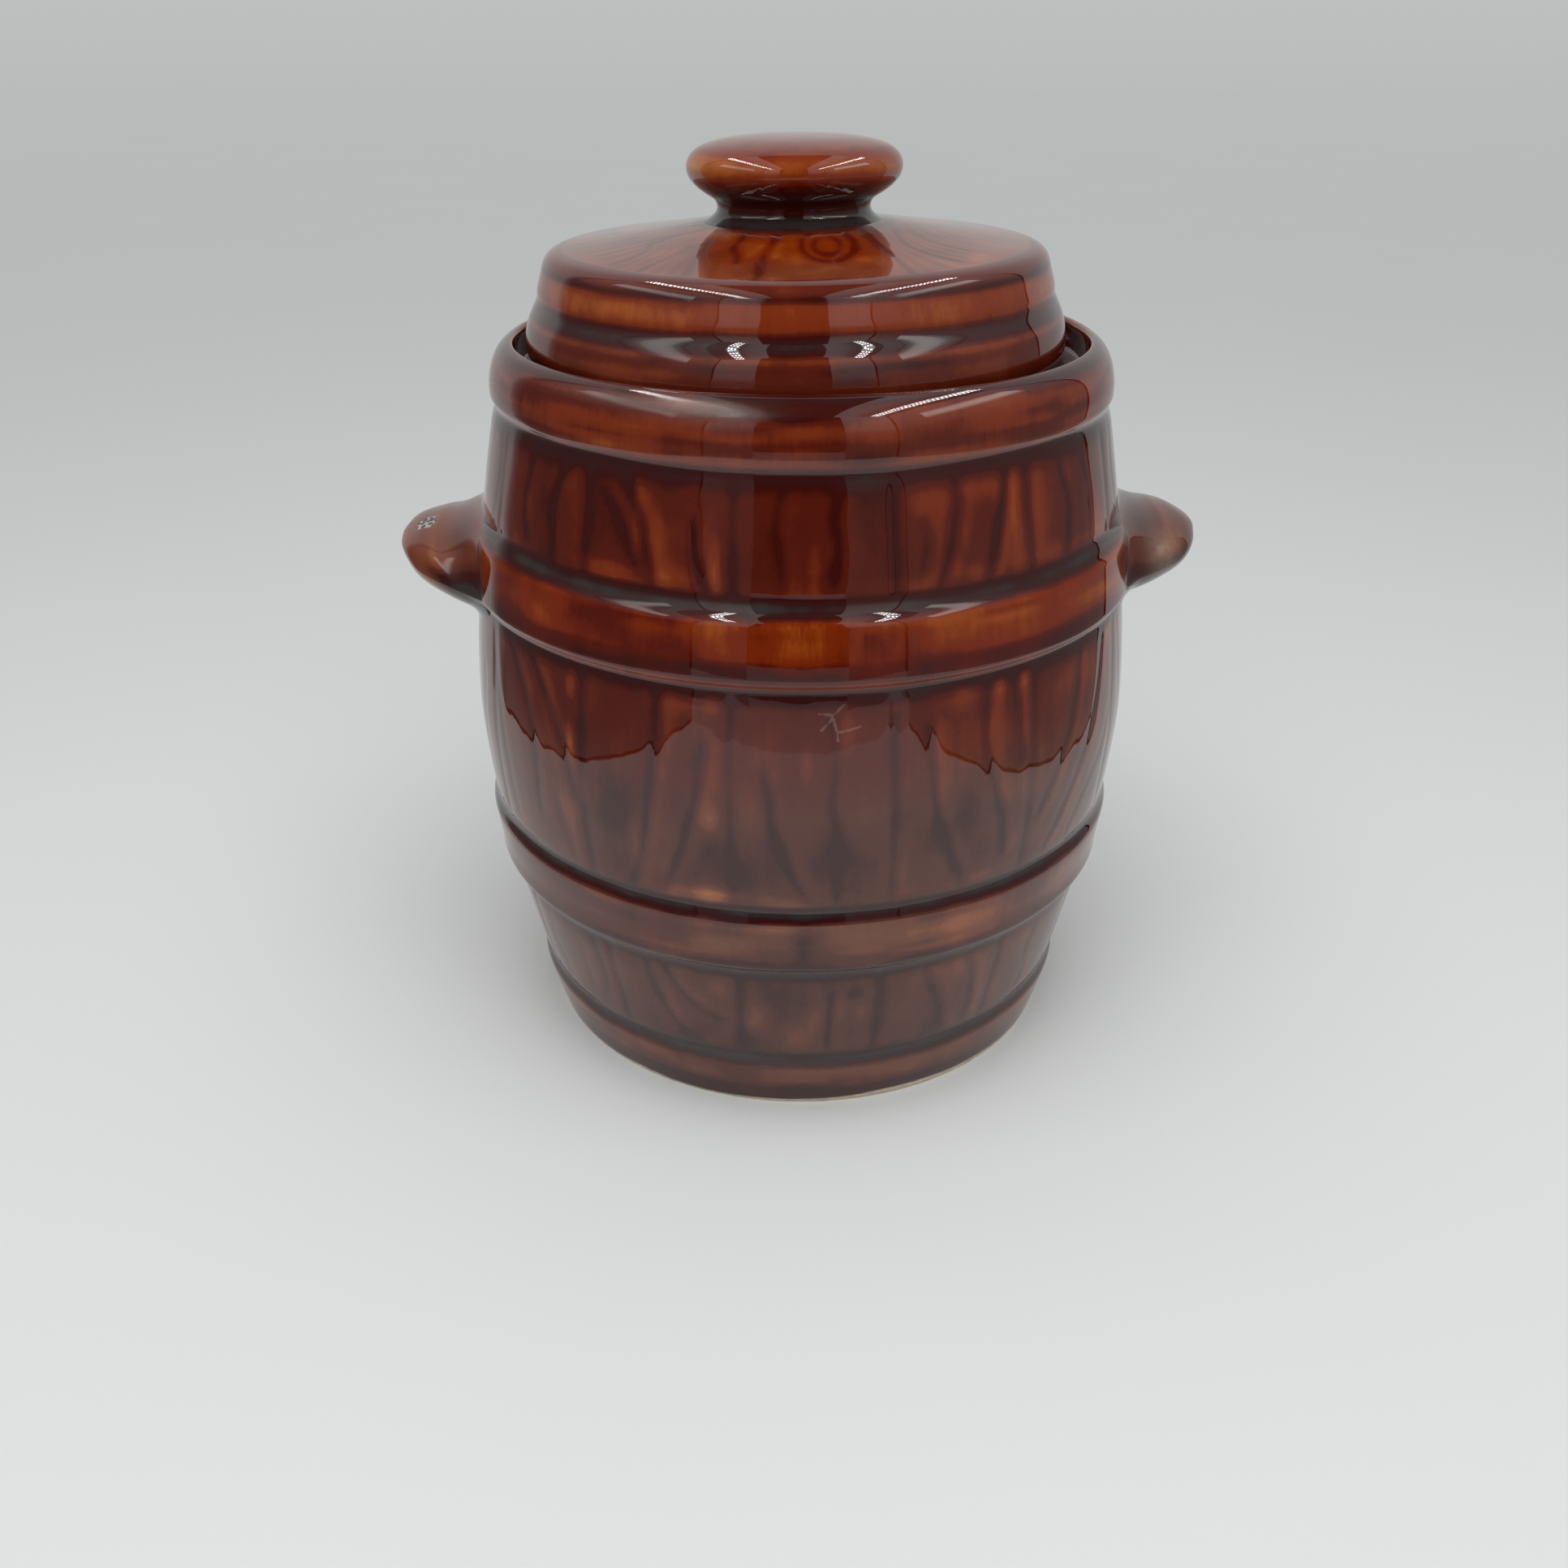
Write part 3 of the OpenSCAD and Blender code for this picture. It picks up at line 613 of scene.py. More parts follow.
def build_lug(name):
    """A tongue with a slight waist at its root, which runs into the barrel in a round hollow."""
    side, reach, hw, ht, z0, z1, turn = LUGS[name]
    nt, nf, na = 168, 16, 44
    t = TAU * np.arange(nt) / nt
    c, s = np.cos(t), np.sin(t)
    L = reach - LUG_X0
    tr = math.radians(turn)

    def surf(a):
        sa = np.sin(a)
        k = np.sqrt(np.clip(1.0 - np.sign(sa) * np.abs(sa) ** 1.85, 0, None))
        k = np.where(sa < 0, 1.0, k)
        waist = 1.0 + (0.10 - 0.14 * soft((s + 0.1) / 0.5)) * np.clip(1.0 - sa / 0.55, 0, 1.4) ** 2
        x = LUG_X0 + L * sa
        y = hw * k * waist * c
        z = z0 + (z1 - z0) * sa + ht * k * s
        return x, y, z

    def turned_xy(x, y):
        return x * math.cos(tr) - y * math.sin(tr), x * math.sin(tr) + y * math.cos(tr)

    def gap(x, y, z):
        """Distance outside the barrel."""
        return np.hypot(*turned_xy(x, y)) - outer_r(z)

    def at_gap(g):
        lo, hi = np.full(nt, -1.0), np.full(nt, math.pi / 2)
        for _ in range(40):
            m = 0.5 * (lo + hi)
            inside = gap(*surf(m)) < g
            lo, hi = np.where(inside, m, lo), np.where(inside, hi, m)
        return 0.5 * (lo + hi)

    hollow = 3.2 + 6.3 * soft((s + 0.35) / 0.9)
    ny, nz = c / hw, s / ht
    nn = np.hypot(ny, nz)
    ny, nz = ny / nn, nz / nn
    ring = np.linspace(0, 1, nt, endpoint=False)[None]
    pts, T, P, M, B, at = [], [], [], [], [], []

    def add(x, y, z, q, fil):
        """x, y, z in the lug's own place; q runs from 0 at the root to 1 at the tip, fil is 1 at the barrel."""
        un = 0.22 * (1 - fil) * noise(200 + 7 * side, ring, ring * 0 + q, 9, 5)[0]
        xs, ys, zs = side * (x + un), y + un * c, z + un * s
        pts.append(np.stack([xs, ys, zs], -1))
        under = soft((-s - 0.15) / 0.7)
        tip = soft((q - 0.35) / 0.6)
        edge = np.exp(-(((s + 0.42) / 0.34) ** 2)) * soft((q - 0.12) / 0.3)
        n1 = 0.07 * noise(210 + side, ring, ring * 0 + q, 14, 7)[0]
        # shade darkens the lower front of each lug towards its root: partly thicker glaze, partly painted shade and a
        # painted dark reflection
        shade = soft(((0.32 if side > 0 else 0.42) - s) / 0.45) * soft(((1.15 if side > 0 else 0.52) - q) / 0.30) * soft((0.75 - c) / 1.5)
        stripe = np.exp(-(((q - 0.31) / 0.06) ** 2)) * soft((s + 0.1) / 0.4)
        T.append((0.47 if side > 0 else 0.41) + 0.10 * under + (0.40 if side > 0 else 0.52) * shade - 0.16 * edge * (1.0 - shade) - (0.02 if side > 0 else 0.12) * tip - 0.12 * stripe + 0.12 * np.exp(-(((fil - 0.45) / 0.25) ** 2)) + n1)
        pit = np.exp(-(((xs + 105.6) / 3.2) ** 2) - ((ys + 8.5) / 4.4) ** 2) * (s > 0)
        P.append(pit if side < 0 else 0.0 * pit)
        # On the right lug this patch is rougher and is mixed towards the pale clay colour; the pale colour is a painted
        # highlight for the lamp's soft shine there, the roughness is real
        satin_and_shine = np.exp(-(((np.abs(xs) - 102.5) / 6.0) ** 2) - ((ys + 20.5) / 7.5) ** 2) * soft((s + 0.6) / 0.5)
        M.append(0.08 + (0.34 if side > 0 else 0.02) * satin_and_shine)
        B.append((0.20 if side > 0 else 0.0) * satin_and_shine)
        at.append(q)

    for k in range(nf):
        th = 0.5 * math.pi * k / nf
        g = hollow * (1.0 - math.cos(th))
        push = hollow * (1.0 - math.sin(th))
        x, y, z = surf(at_gap(g))
        y, z = y + push * ny, z + push * nz
        xr, yr = turned_xy(x, y)
        want = outer_r(z) + g - 0.10 * (1.0 - math.sin(th))
        f = want / np.hypot(xr, yr)
        add(xr * f, yr * f, z, 0.25 * k / nf, 1.0 - k / nf)
    a1 = at_gap(hollow)
    for k in range(na):
        q = k / (na - 1.0)
        x, y, z = surf(a1 + (math.pi / 2 - 0.02 - a1) * q)
        xr, yr = turned_xy(x, y)
        add(xr, yr, z, 0.25 + 0.75 * q, 0.0)
    pts = np.array(pts)
    T, P, M, B = np.array(T), np.array(P), np.array(M), np.array(B)
    if side < 0:
        pts, T, P, M, B = pts[:, ::-1], T[:, ::-1], P[:, ::-1], M[:, ::-1], B[:, ::-1]
    tip = np.array([side * reach * math.cos(tr), reach * math.sin(tr), z1])
    root = pts[0].mean(0)
    root[0] = side * 87.0
    zero = np.zeros(T.shape)
    return ring_mesh(
        name + "_glazed", pts, np.array(at) + 1e-6, {"thick_and_shade": T, "bare_and_shine": B, "streak": zero, "pit": P, "matt": M, "brown": zero + 0.7}, poles=(root, tip)
    )


# ---------------------------------------------------------------- lid

SEAT, PAD = 194.8, 231.0
LID_X, KNOB_X = -1.6, -2.1

# grain on the lid's top, each a run of (x, y) from the lid's middle, front is -y; then depth and darkness
LID_GRAIN = [
    ([(-12.6, -24.0), (-13.6, -27.5), (-16.2, -33.8), (-14.4, -41.1), (-15.0, -47.0)], 0.26, 0.9),
    ([(-4.2, -24.0), (-4.8, -27.5), (-6.4, -33.0), (-8.5, -40.2), (-9.4, -50.2), (-9.8, -58.0), (-10.4, -63.5)], 0.30, 1.0),
    ([(15.4, -19.0), (16.5, -21.5), (19.3, -31.1), (22.0, -39.3), (24.0, -46.0), (26.5, -55.0), (27.6, -62.0)], 0.34, 1.2),
    ([(28.4, -6.0), (28.6, -9.4), (29.3, -16.5), (32.0, -23.8), (36.5, -27.8), (43.0, -30.0)], 0.30, 1.0),
    ([(24.3, -8.0), (24.4, -13.8), (25.6, -27.5), (28.4, -33.8), (34.0, -39.0), (40.0, -42.0)], 0.30, 1.0),
    ([(31.4, -2.0), (31.4, -7.5), (33.2, -15.0), (37.5, -19.6), (44.0, -21.6)], 0.26, 0.8),
    ([(35.5, 1.0), (36.0, -6.0), (39.0, -12.0), (45.0, -14.4)], 0.22, 0.7),
    ([(-24.4, -14.7), (-32.0, -16.6), (-40.7, -18.6), (-52.0, -21.6)], 0.26, 0.8),
    ([(-26.0, -7.0), (-38.0, -9.4), (-51.6, -12.2), (-61.0, -13.4)], 0.26, 0.8),
    ([(-26.0, -1.5), (-40.0, -3.4), (-58.0, -5.0)], 0.22, 0.7),
    ([(-36.0, -20.5), (-36.6, -24.6), (-36.4, -29.0), (-39.8, -34.2), (-44.5, -38.5)], 0.26, 0.9),
    ([(-26.8, -29.0), (-28.0, -33.8), (-31.6, -39.3), (-36.0, -44.5), (-39.0, -49.5)], 0.26, 0.8),
    ([(-22.0, -24.0), (-22.6, -32.0), (-24.4, -41.0), (-26.0, -52.0), (-27.5, -58.0)], 0.24, 0.7),
]
LID_KNOT = [
    ((7.4, -35.0), (3.2, 7.2), 0.20, 0.85),
    ((7.6, -34.6), (6.6, 13.0), 0.28, 1.0),
]


def lid_back_grain(seed):
    """Plank grain for the back half of the lid's top."""
    rng = np.random.default_rng(seed)
    out = []
    for x in (-50, -41, -33, -25, -16, -7, 3, 12, 21, 30, 38, 47, 55):
        x = x + rng.uniform(-2.0, 2.0)
        y = np.linspace(4.0 if abs(x) > 27 else 20.0, 62.0, 7)
        bow = rng.uniform(-3.5, 3.5)
        px = x + bow * np.sin((y - 5.0) / 55.0 * math.pi) + rng.normal(0, 0.4, 7)
        out.append((list(zip(px.tolist(), y.tolist())), float(rng.uniform(0.2, 0.32)), float(rng.uniform(0.7, 1.0))))
    return out


def stroke_field(X, Y, lines, sigma):
    depth = np.zeros_like(X)
    dark = np.zeros_like(X)
    for pts, dp, dk in lines:
        p = corner_cut(pts, 2)
        best = np.full(X.shape, 1e9)
        for (x0, y0), (x1, y1) in zip(p[:-1], p[1:]):
            dx, dy = x1 - x0, y1 - y0
            t = np.clip(((X - x0) * dx + (Y - y0) * dy) / (dx * dx + dy * dy + 1e-9), 0, 1)
            best = np.minimum(best, np.hypot(X - x0 - t * dx, Y - y0 - t * dy))
        g = np.exp(-0.5 * (best / sigma) ** 2)
        depth += dp * g
        dark = np.maximum(dark, dk * np.exp(-0.5 * (best / (1.2 * sigma)) ** 2))
    return depth, dark


def lid_warp(x, y, z):
    """The lid's top leans a little: its right side and its front are the higher ones."""
    return (0.011 * (x - LID_X) - 0.009 * y) * soft((z - SEAT - 1.0) / 15.0)


def build_lid():
    nc = 448
    phi = -math.pi + TAU * np.arange(nc) / nc
    wall = corner_cut(
        [
            (62.5, SEAT - 9.6), (62.5, SEAT - 1.0), (63.5, SEAT), (66.2, SEAT), (68.8, SEAT), (71.1, SEAT + 1.2),
            (72.4, SEAT + 3.4), (72.9, SEAT + 6.0), (72.7, SEAT + 8.6), (72.1, SEAT + 11.0), (71.5, SEAT + 12.9),
            (70.9, SEAT + 14.2), (70.3, SEAT + 15.4), (69.65, SEAT + 16.6), (69.1, SEAT + 17.8), (68.85, SEAT + 18.7), (68.8, SEAT + 19.5), (68.8, SEAT + 20.3),
            (68.4, SEAT + 21.8), (67.5, SEAT + 24.6), (66.9, SEAT + 26.8), (65.9, SEAT + 28.5), (64.3, SEAT + 29.55), (62.2, SEAT + 30.0),
        ],
        3,
    )
    top = np.array([(56.0, 225.65), (45.0, 227.25), (34.0, 228.95), (28.0, 229.95), (25.9, 230.3), (24.0, 230.62), (22.4, 230.9), (20.8, 231.0), (12.0, 231.0)])
    under = np.array(
        [
            (10.0, 224.0), (23.9, 223.6), (40.0, 220.7), (50.5, 218.6), (54.5, 216.4), (56.3, 211.6), (56.5, 205.0), (56.5, 195.0), (56.5, 185.4),
            (57.0, 184.4), (58.2, 184.0), (60.6, 184.0), (61.9, 184.3), (62.4, 185.2),
        ]
    )
    p_under = resample(corner_cut(under, 2), 3.4, 4.0)
    p_wall = resample(wall, 0.95, 4.5)
    p_top = resample(corner_cut(np.vstack([wall[-1:], top]), 2), 1.0, 2.0)
    prof = np.vstack([p_under, p_wall, p_top[1:]])
    nu, nw = len(p_under), len(p_wall)
    s = along(prof)
    PH = np.broadcast_to(phi[None], (len(prof), nc))
    Un = PH / TAU
    V = np.broadcast_to((s / s[-1])[:, None], PH.shape)
    R = np.broadcast_to(prof[:, :1], PH.shape).copy()
    Z = np.broadcast_to(prof[:, 1:], PH.shape).copy()
    kind = np.zeros(len(prof))
    kind[nu : nu + nw] = 1
    kind[nu + nw :] = 2
    outer = (kind > 0) & (prof[:, 1] > SEAT + 0.6)
    R[outer] += 0.14 * noise(301, Un, V, 8, 6)[outer] + 0.05 * noise(302, Un, V, 26, 10)[outer]
    wv = 0.16 * noise(303, Un, V * 0, 11, 1)

    X, Y = R * np.sin(PH), -R * np.cos(PH)
    lines = LID_GRAIN + lid_back_grain(31)
    fan = []
    for a, b in ((3, 4), (4, 2), (5, 3), (6, 5), (7, 8), (8, 9), (7, 10), (10, 11), (11, 12)):
        u = np.linspace(0, 1, 9)
        pa, pb = np.array(LID_GRAIN[a][0]), np.array(LID_GRAIN[b][0])
        ends = [np.stack([np.interp(u, np.linspace(0, 1, len(q)), q[:, k]) for k in (0, 1)], 1) for q in (pa, pb)]
        for f in (0.33, 0.67):
            fan.append((((1 - f) * ends[0] + f * ends[1])[1:].tolist(), 0.16, 0.5))
    lines = lines + fan
    wx = 0.7 * noise(305, X / 140.0 + 0.5, Y / 140.0 + 0.5, 9, 9)
    wy = 0.7 * noise(306, X / 140.0 + 0.5, Y / 140.0 + 0.5, 9, 9)
    depth, dark = stroke_field(X + wx, Y + wy, lines, 0.75)
    for (cx, cy), (rx, ry), dp, dk in LID_KNOT:
        q = np.hypot((X + wx - cx) / rx, (Y + wy - cy) / ry)
        d = (q - 1.0) * min(rx, ry) * 1.05
        depth += dp * np.exp(-0.5 * (d / 0.75) ** 2)
        dark = np.maximum(dark, dk * np.exp(-0.5 * (d / 0.85) ** 2))
    on_top = (soft((63.5 - R) / 3.0) * soft((R - 25.2) / 1.5)) * (kind == 2)[:, None]
    ridge = blur_cols(depth, 3.0)
    Z -= on_top * 0.16 * (depth - 0.6 * ridge)
    flat = (kind == 2)[:, None] * soft((R - 24.5) / 4.0)
    Z += flat * 0.06 * noise(307, X / 140.0 + 0.5, Y / 140.0 + 0.5, 7, 7)

    rel = Z - SEAT
    thick_and_shade = np.full(PH.shape, 0.37)
    side = (kind == 1)[:, None]
    zz = rel + wv
    band = soft((zz - 18.4) / 1.4) * soft((26.2 - zz) / 1.6)
    thick_and_shade = np.where(side, 0.52 - 0.20 * band, thick_and_shade)
    thick_and_shade += side * 0.34 * np.exp(-(((zz - 16.3) / 1.9) ** 2))
    thick_and_shade += side * 0.16 * np.exp(-(((zz - 26.4) / 0.9) ** 2))
    thick_and_shade -= side * 0.14 * np.exp(-(((zz - 13.4) / 0.8) ** 2))
    thick_and_shade += side * 0.08 * np.exp(-(((zz - 11.2) / 1.2) ** 2))
    thick_and_shade += side * 0.16 * soft((5.0 - zz) / 3.0)
    PHD = np.degrees(PH)
    thick_and_shade += side * blobs(
        PHD,
        zz,
        [
            (-42.0, 22.4, 18.0, 2.6, -0.12), (-22.0, 24.6, 5.0, 1.0, 0.12), (-40.0, 25.0, 8.0, 0.8, 0.12), (-27.0, 13.0, 4.0, 1.2, 0.12),
            (-38.0, 9.6, 14.0, 2.4, -0.16), (-26.0, 10.4, 4.0, 1.6, -0.10), (22.0, 12.0, 9.0, 1.0, 0.12), (40.0, 9.5, 12.0, 3.0, -0.10),
            (0.0, 22.0, 11.0, 3.4, 0.09), (28.0, 22.0, 12.0, 3.0, 0.0), (10.0, 10.0, 5.0, 2.0, 0.08), (46.0, 9.0, 8.0, 2.0, 0.04),
            (120.0, 22.0, 30.0, 3.0, -0.10), (200.0, 22.0, 30.0, 3.0, -0.05), (90.0, 10.0, 20.0, 2.0, -0.10), (170.0, 10.0, 25.0, 2.0, -0.10), (250.0, 10.0, 18.0, 2.0, -0.12),
        ],
    )
    thick_and_shade += on_top * (0.17 * np.clip(dark, 0, 1.2)) - on_top * 0.03
    matt = side * blobs(PHD, zz, [(15.0, 26.2, 9.0, 0.9, 0.8), (-9.0, 26.2, 6.0, 0.7, 0.5), (170.0, 26.2, 20.0, 0.8, 0.5)])
    thick_and_shade += (kind == 2)[:, None] * 0.16 * soft((27.6 - R) / 2.2)
    thick_and_shade += 0.045 * noise(311, Un, V, 40, 30) + 0.03 * noise(312, Un, V, 110, 40) + (kind == 2)[:, None] * 0.06 * noise(313, X / 140 + 0.5, Y / 140 + 0.5, 16, 16)
    thick_and_shade[kind == 0] = (0.56 + 0.05 * noise(314, Un, V, 30, 20))[kind == 0]
    bare_and_shine = np.zeros(PH.shape)
    ring = (prof[:, 0] > 60.0) & (prof[:, 1] < SEAT + 0.55) & (prof[:, 1] > SEAT - 2.5) & (kind == 1)
    bare_and_shine[ring] = 1.0
    low = (kind == 0) & (prof[:, 1] < 185.0)
    bare_and_shine[low] = 1.0
    streak = np.clip(side * (0.25 * band + 0.20), 0, 1) * np.ones(PH.shape)
    streak[kind != 1] = 0.0
    clear = np.exp(-(((X - 1.0) / 24.0) ** 4) - ((Y + 36.0) / 14.0) ** 4) * (kind == 2)[:, None]
    brown = np.where(side, 0.40 - 0.20 * band, 0.60 * (1.0 - clear))

    X, Y = R * np.sin(PH) + LID_X, -R * np.cos(PH)
    Z = Z + lid_warp(X, Y, Z)
    pts = np.stack([X, Y, Z], -1)
    return ring_mesh(
        "lid_glazed", pts, s, {"thick_and_shade": thick_and_shade, "bare_and_shine": bare_and_shine, "streak": streak, "matt": matt, "brown": brown}, poles=((LID_X, 0, 224.0), (LID_X, 0, 231.0))
    )


# ---------------------------------------------------------------- knob


def build_knob():
    nc = 256
    phi = -math.pi + TAU * np.arange(nc) / nc
    pts = corner_cut(
        [
            (19.0, 230.3), (23.4, 230.32), (24.2, 230.5), (22.9, 230.95), (21.7, 231.7), (20.5, 232.8), (20.1, 234.0), (20.4, 235.3), (21.3, 236.4),
            (23.8, 237.8), (26.1, 239.5), (27.6, 241.2), (28.25, 243.0), (28.3, 244.6), (27.8, 246.2), (26.6, 247.7), (24.3, 249.15), (20.3, 250.25), (15.5, 251.0), (9.0, 251.4), (4.0, 251.48),
        ],
        3,
    )
    prof = resample(pts, 0.9, 4.5)
    s = along(prof)
    PH = np.broadcast_to(phi[None], (len(prof), nc))
    Un = PH / TAU
    V = np.broadcast_to((s / s[-1])[:, None], PH.shape)
    R = np.broadcast_to(prof[:, :1], PH.shape).copy()
    Z = np.broadcast_to(prof[:, 1:], PH.shape).copy()
    lift = soft((Z - 234.0) / 6.0)
    R += lift * (0.16 * noise(401, Un, V, 5, 3) + 0.06 * noise(402, Un, V, 13, 5) - 0.12) * soft((R - 3.0) / 10.0)
    PHD = np.degrees(PH)
    # Pooled glaze at the neck; below the knob's widest round the colour is made darker, and the two blobs low on the
    # front darken it more: painted shade on the knob's underside
    thick_and_shade = 0.41 + 0.37 * np.exp(-(((Z - 231.8) / 2.0) ** 2)) + 0.19 * soft((242.6 - Z) / 2.0)
    thick_and_shade = thick_and_shade - 0.10 * soft((Z - 242.5) / 2.5) * soft((248.5 - Z) / 2.0)
    thick_and_shade += blobs(
        PHD, Z, [(-62.0, 244.5, 30.0, 2.8, -0.22), (58.0, 243.8, 20.0, 2.4, -0.10), (0.0, 240.0, 34.0, 2.6, 0.14), (10.0, 236.5, 60.0, 2.0, 0.10), (150.0, 244.5, 40.0, 2.6, -0.12)]
    )
    thick_and_shade += 0.04 * noise(411, Un, V, 18, 9) + 0.03 * noise(412, Un, V, 50, 16)
    X, Y = R * np.sin(PH) + KNOB_X, -R * np.cos(PH)
    Z = Z + lid_warp(X, Y, Z)
    zero = np.zeros(PH.shape)
    return ring_mesh(
        "knob_glazed", np.stack([X, Y, Z], -1), s, {"thick_and_shade": thick_and_shade, "bare_and_shine": zero, "streak": zero + 0.2, "brown": 0.12 + 0.18 * soft((Z - 246.0) / 4.0)}, poles=((KNOB_X, 0, 230.3), (KNOB_X, 0, 251.5))
    )


# ---------------------------------------------------------------- glaze


def glaze(name, stops, browns, seed, pale_lines=()):
    m = bpy.data.materials.new(name)
    m.use_nodes = True
    nt = m.node_tree
    nt.nodes.clear()
    N = nt.nodes.new

    def link(a, b):
        nt.links.new(a, b)

    out = N("ShaderNodeOutputMaterial")
    bsdf = N("ShaderNodeBsdfPrincipled")
    link(bsdf.outputs["BSDF"], out.inputs["Surface"])
    bsdf.inputs["IOR"].default_value = 1.60
    co = N("ShaderNodeTexCoord")

    def attr(key):
        a = N("ShaderNodeAttribute")
        a.attribute_name = key
        return a.outputs["Fac"]

    def math_node(op, a, b=None, clamp=False):
        n = N("ShaderNodeMath")
        n.operation = op
        n.use_clamp = clamp
        for k, v in enumerate((a, b)):
            if v is None:
                continue
            if isinstance(v, (int, float)):
                n.inputs[k].default_value = v
            else:
                link(v, n.inputs[k])
        return n.outputs[0]

    def noise_node(scale, detail, stretch=None, rough=0.5, shift=0.0):
        src = co.outputs["Object"]
        mp = N("ShaderNodeMapping")
        mp.inputs["Location"].default_value = (seed * 1.7 + shift, seed * 0.9 - shift, seed * 0.37)
        mp.inputs["Scale"].default_value = stretch or (1.0, 1.0, 1.0)
        link(src, mp.inputs["Vector"])
        n = N("ShaderNodeTexNoise")
        n.inputs["Scale"].default_value = scale
        n.inputs["Detail"].default_value = detail
        n.inputs["Roughness"].default_value = rough
        link(mp.outputs["Vector"], n.inputs["Vector"])
        return n.outputs["Fac"]

    thick_and_shade = attr("thick_and_shade")
    bare_and_shine = attr("bare_and_shine")
    streak = attr("streak")
    cloud = math_node("SUBTRACT", noise_node(70.0, 3.0, None, 0.55, 3.0), 0.5)
    speck = math_node("SUBTRACT", noise_node(520.0, 2.0, None, 0.5, 7.0), 0.5)
    runs = math_node("SUBTRACT", noise_node(1.0, 2.0, (620.0, 620.0, 55.0), 0.6, 11.0), 0.5)
    t = math_node("ADD", thick_and_shade, math_node("MULTIPLY", cloud, 0.13))
    t = math_node("ADD", t, math_node("MULTIPLY", speck, 0.05))
    t = math_node("ADD", t, math_node("MULTIPLY", math_node("MULTIPLY", runs, streak), 0.28), clamp=True)
    ramp = N("ShaderNodeValToRGB")
    ramp.color_ramp.interpolation = "EASE"
    els = ramp.color_ramp.elements
    while len(els) > 1:
        els.remove(els[-1])
    els[0].position, els[0].color = stops[0][0], (*stops[0][1], 1.0)
    for pos, col in stops[1:]:
        e = els.new(pos)
        e.color = (*col, 1.0)
    link(t, ramp.inputs["Fac"])

    # where the glaze is broken by fine crystals its thin places are duller
    dull = N("ShaderNodeValToRGB")
    dull.color_ramp.interpolation = "EASE"
    els = dull.color_ramp.elements
    while len(els) > 1:
        els.remove(els[-1])
    els[0].position, els[0].color = browns[0][0], (*browns[0][1], 1.0)
    for pos, col in browns[1:]:
        e = els.new(pos)
        e.color = (*col, 1.0)
    link(t, dull.inputs["Fac"])
    hue = N("ShaderNodeMix")
    hue.data_type = "RGBA"
    link(attr("brown"), hue.inputs["Factor"])
    link(ramp.outputs["Color"], hue.inputs[6])
    link(dull.outputs["Color"], hue.inputs[7])

    clay = N("ShaderNodeValToRGB")
    ce = clay.color_ramp.elements
    ce[0].position, ce[0].color = 0.3, (0.50, 0.38, 0.27, 1.0)
    ce[1].position, ce[1].color = 0.7, (0.72, 0.61, 0.48, 1.0)
    link(noise_node(420.0, 4.0, None, 0.6, 19.0), clay.inputs["Fac"])
    mix = N("ShaderNodeMix")
    mix.data_type = "RGBA"
    link(bare_and_shine, mix.inputs["Factor"])
    link(hue.outputs[2], mix.inputs[6])
    link(clay.outputs["Color"], mix.inputs[7])

    # a few burst blisters in the glaze, where the piece has any: near-black middles with a pale edge; the near-black
    # stands for painted shade inside the holes
    cell = N("ShaderNodeTexVoronoi")
    cell.inputs["Scale"].default_value = 640.0
    link(co.outputs["Object"], cell.inputs["Vector"])
    ragged = math_node("ADD", attr("pit"), math_node("MULTIPLY", speck, 0.9))
    broken = math_node("MULTIPLY", math_node("SUBTRACT", ragged, 0.46), 9.0, clamp=True)
    crater = math_node("MULTIPLY", math_node("SUBTRACT", 0.62, cell.outputs["Distance"]), 5.0, clamp=True)
    inside = N("ShaderNodeMix")
    inside.data_type = "RGBA"
    link(crater, inside.inputs["Factor"])
    inside.inputs[6].default_value = (0.42, 0.36, 0.30, 1.0)
    inside.inputs[7].default_value = (0.020, 0.012, 0.010, 1.0)
    flaw = N("ShaderNodeMix")
    flaw.data_type = "RGBA"
    link(broken, flaw.inputs["Factor"])
    link(mix.outputs[2], flaw.inputs[6])
    link(inside.outputs[2], flaw.inputs[7])
    link(flaw.outputs[2], bsdf.inputs["Base Color"])

    rough = math_node("ADD", 0.012, math_node("MULTIPLY", noise_node(60.0, 3.0, None, 0.5, 23.0), 0.035))
    # pale, rougher lines on the front of the belly, along the given runs of points
    if pale_lines:
        flat = N("ShaderNodeVectorMath")
        flat.operation = "MULTIPLY"
        flat.inputs[1].default_value = (1.0, 0.0, 1.0)
        link(co.outputs["Object"], flat.inputs[0])
        near = None
        for run in pale_lines:
            for (x0, z0), (x1, z1) in zip(run[:-1], run[1:]):
                dx, dz = x1 - x0, z1 - z0
                off = N("ShaderNodeVectorMath")
                off.operation = "SUBTRACT"
                off.inputs[1].default_value = (x0 * MM, 0.0, z0 * MM)
                link(flat.outputs[0], off.inputs[0])
                dot = N("ShaderNodeVectorMath")
                dot.operation = "DOT_PRODUCT"
                dot.inputs[1].default_value = (dx / (dx * dx + dz * dz) / MM, 0.0, dz / (dx * dx + dz * dz) / MM)
                link(off.outputs[0], dot.inputs[0])
                part = math_node("MULTIPLY", dot.outputs["Value"], 1.0, clamp=True)
                step = N("ShaderNodeVectorMath")
                step.operation = "SCALE"
                step.inputs[0].default_value = (dx * MM, 0.0, dz * MM)
                link(part, step.inputs["Scale"])
                gap = N("ShaderNodeVectorMath")
                gap.operation = "DISTANCE"
                link(off.outputs[0], gap.inputs[0])
                link(step.outputs[0], gap.inputs[1])
                near = gap.outputs["Value"] if near is None else math_node("MINIMUM", near, gap.outputs["Value"])
        sep = N("ShaderNodeSeparateXYZ")
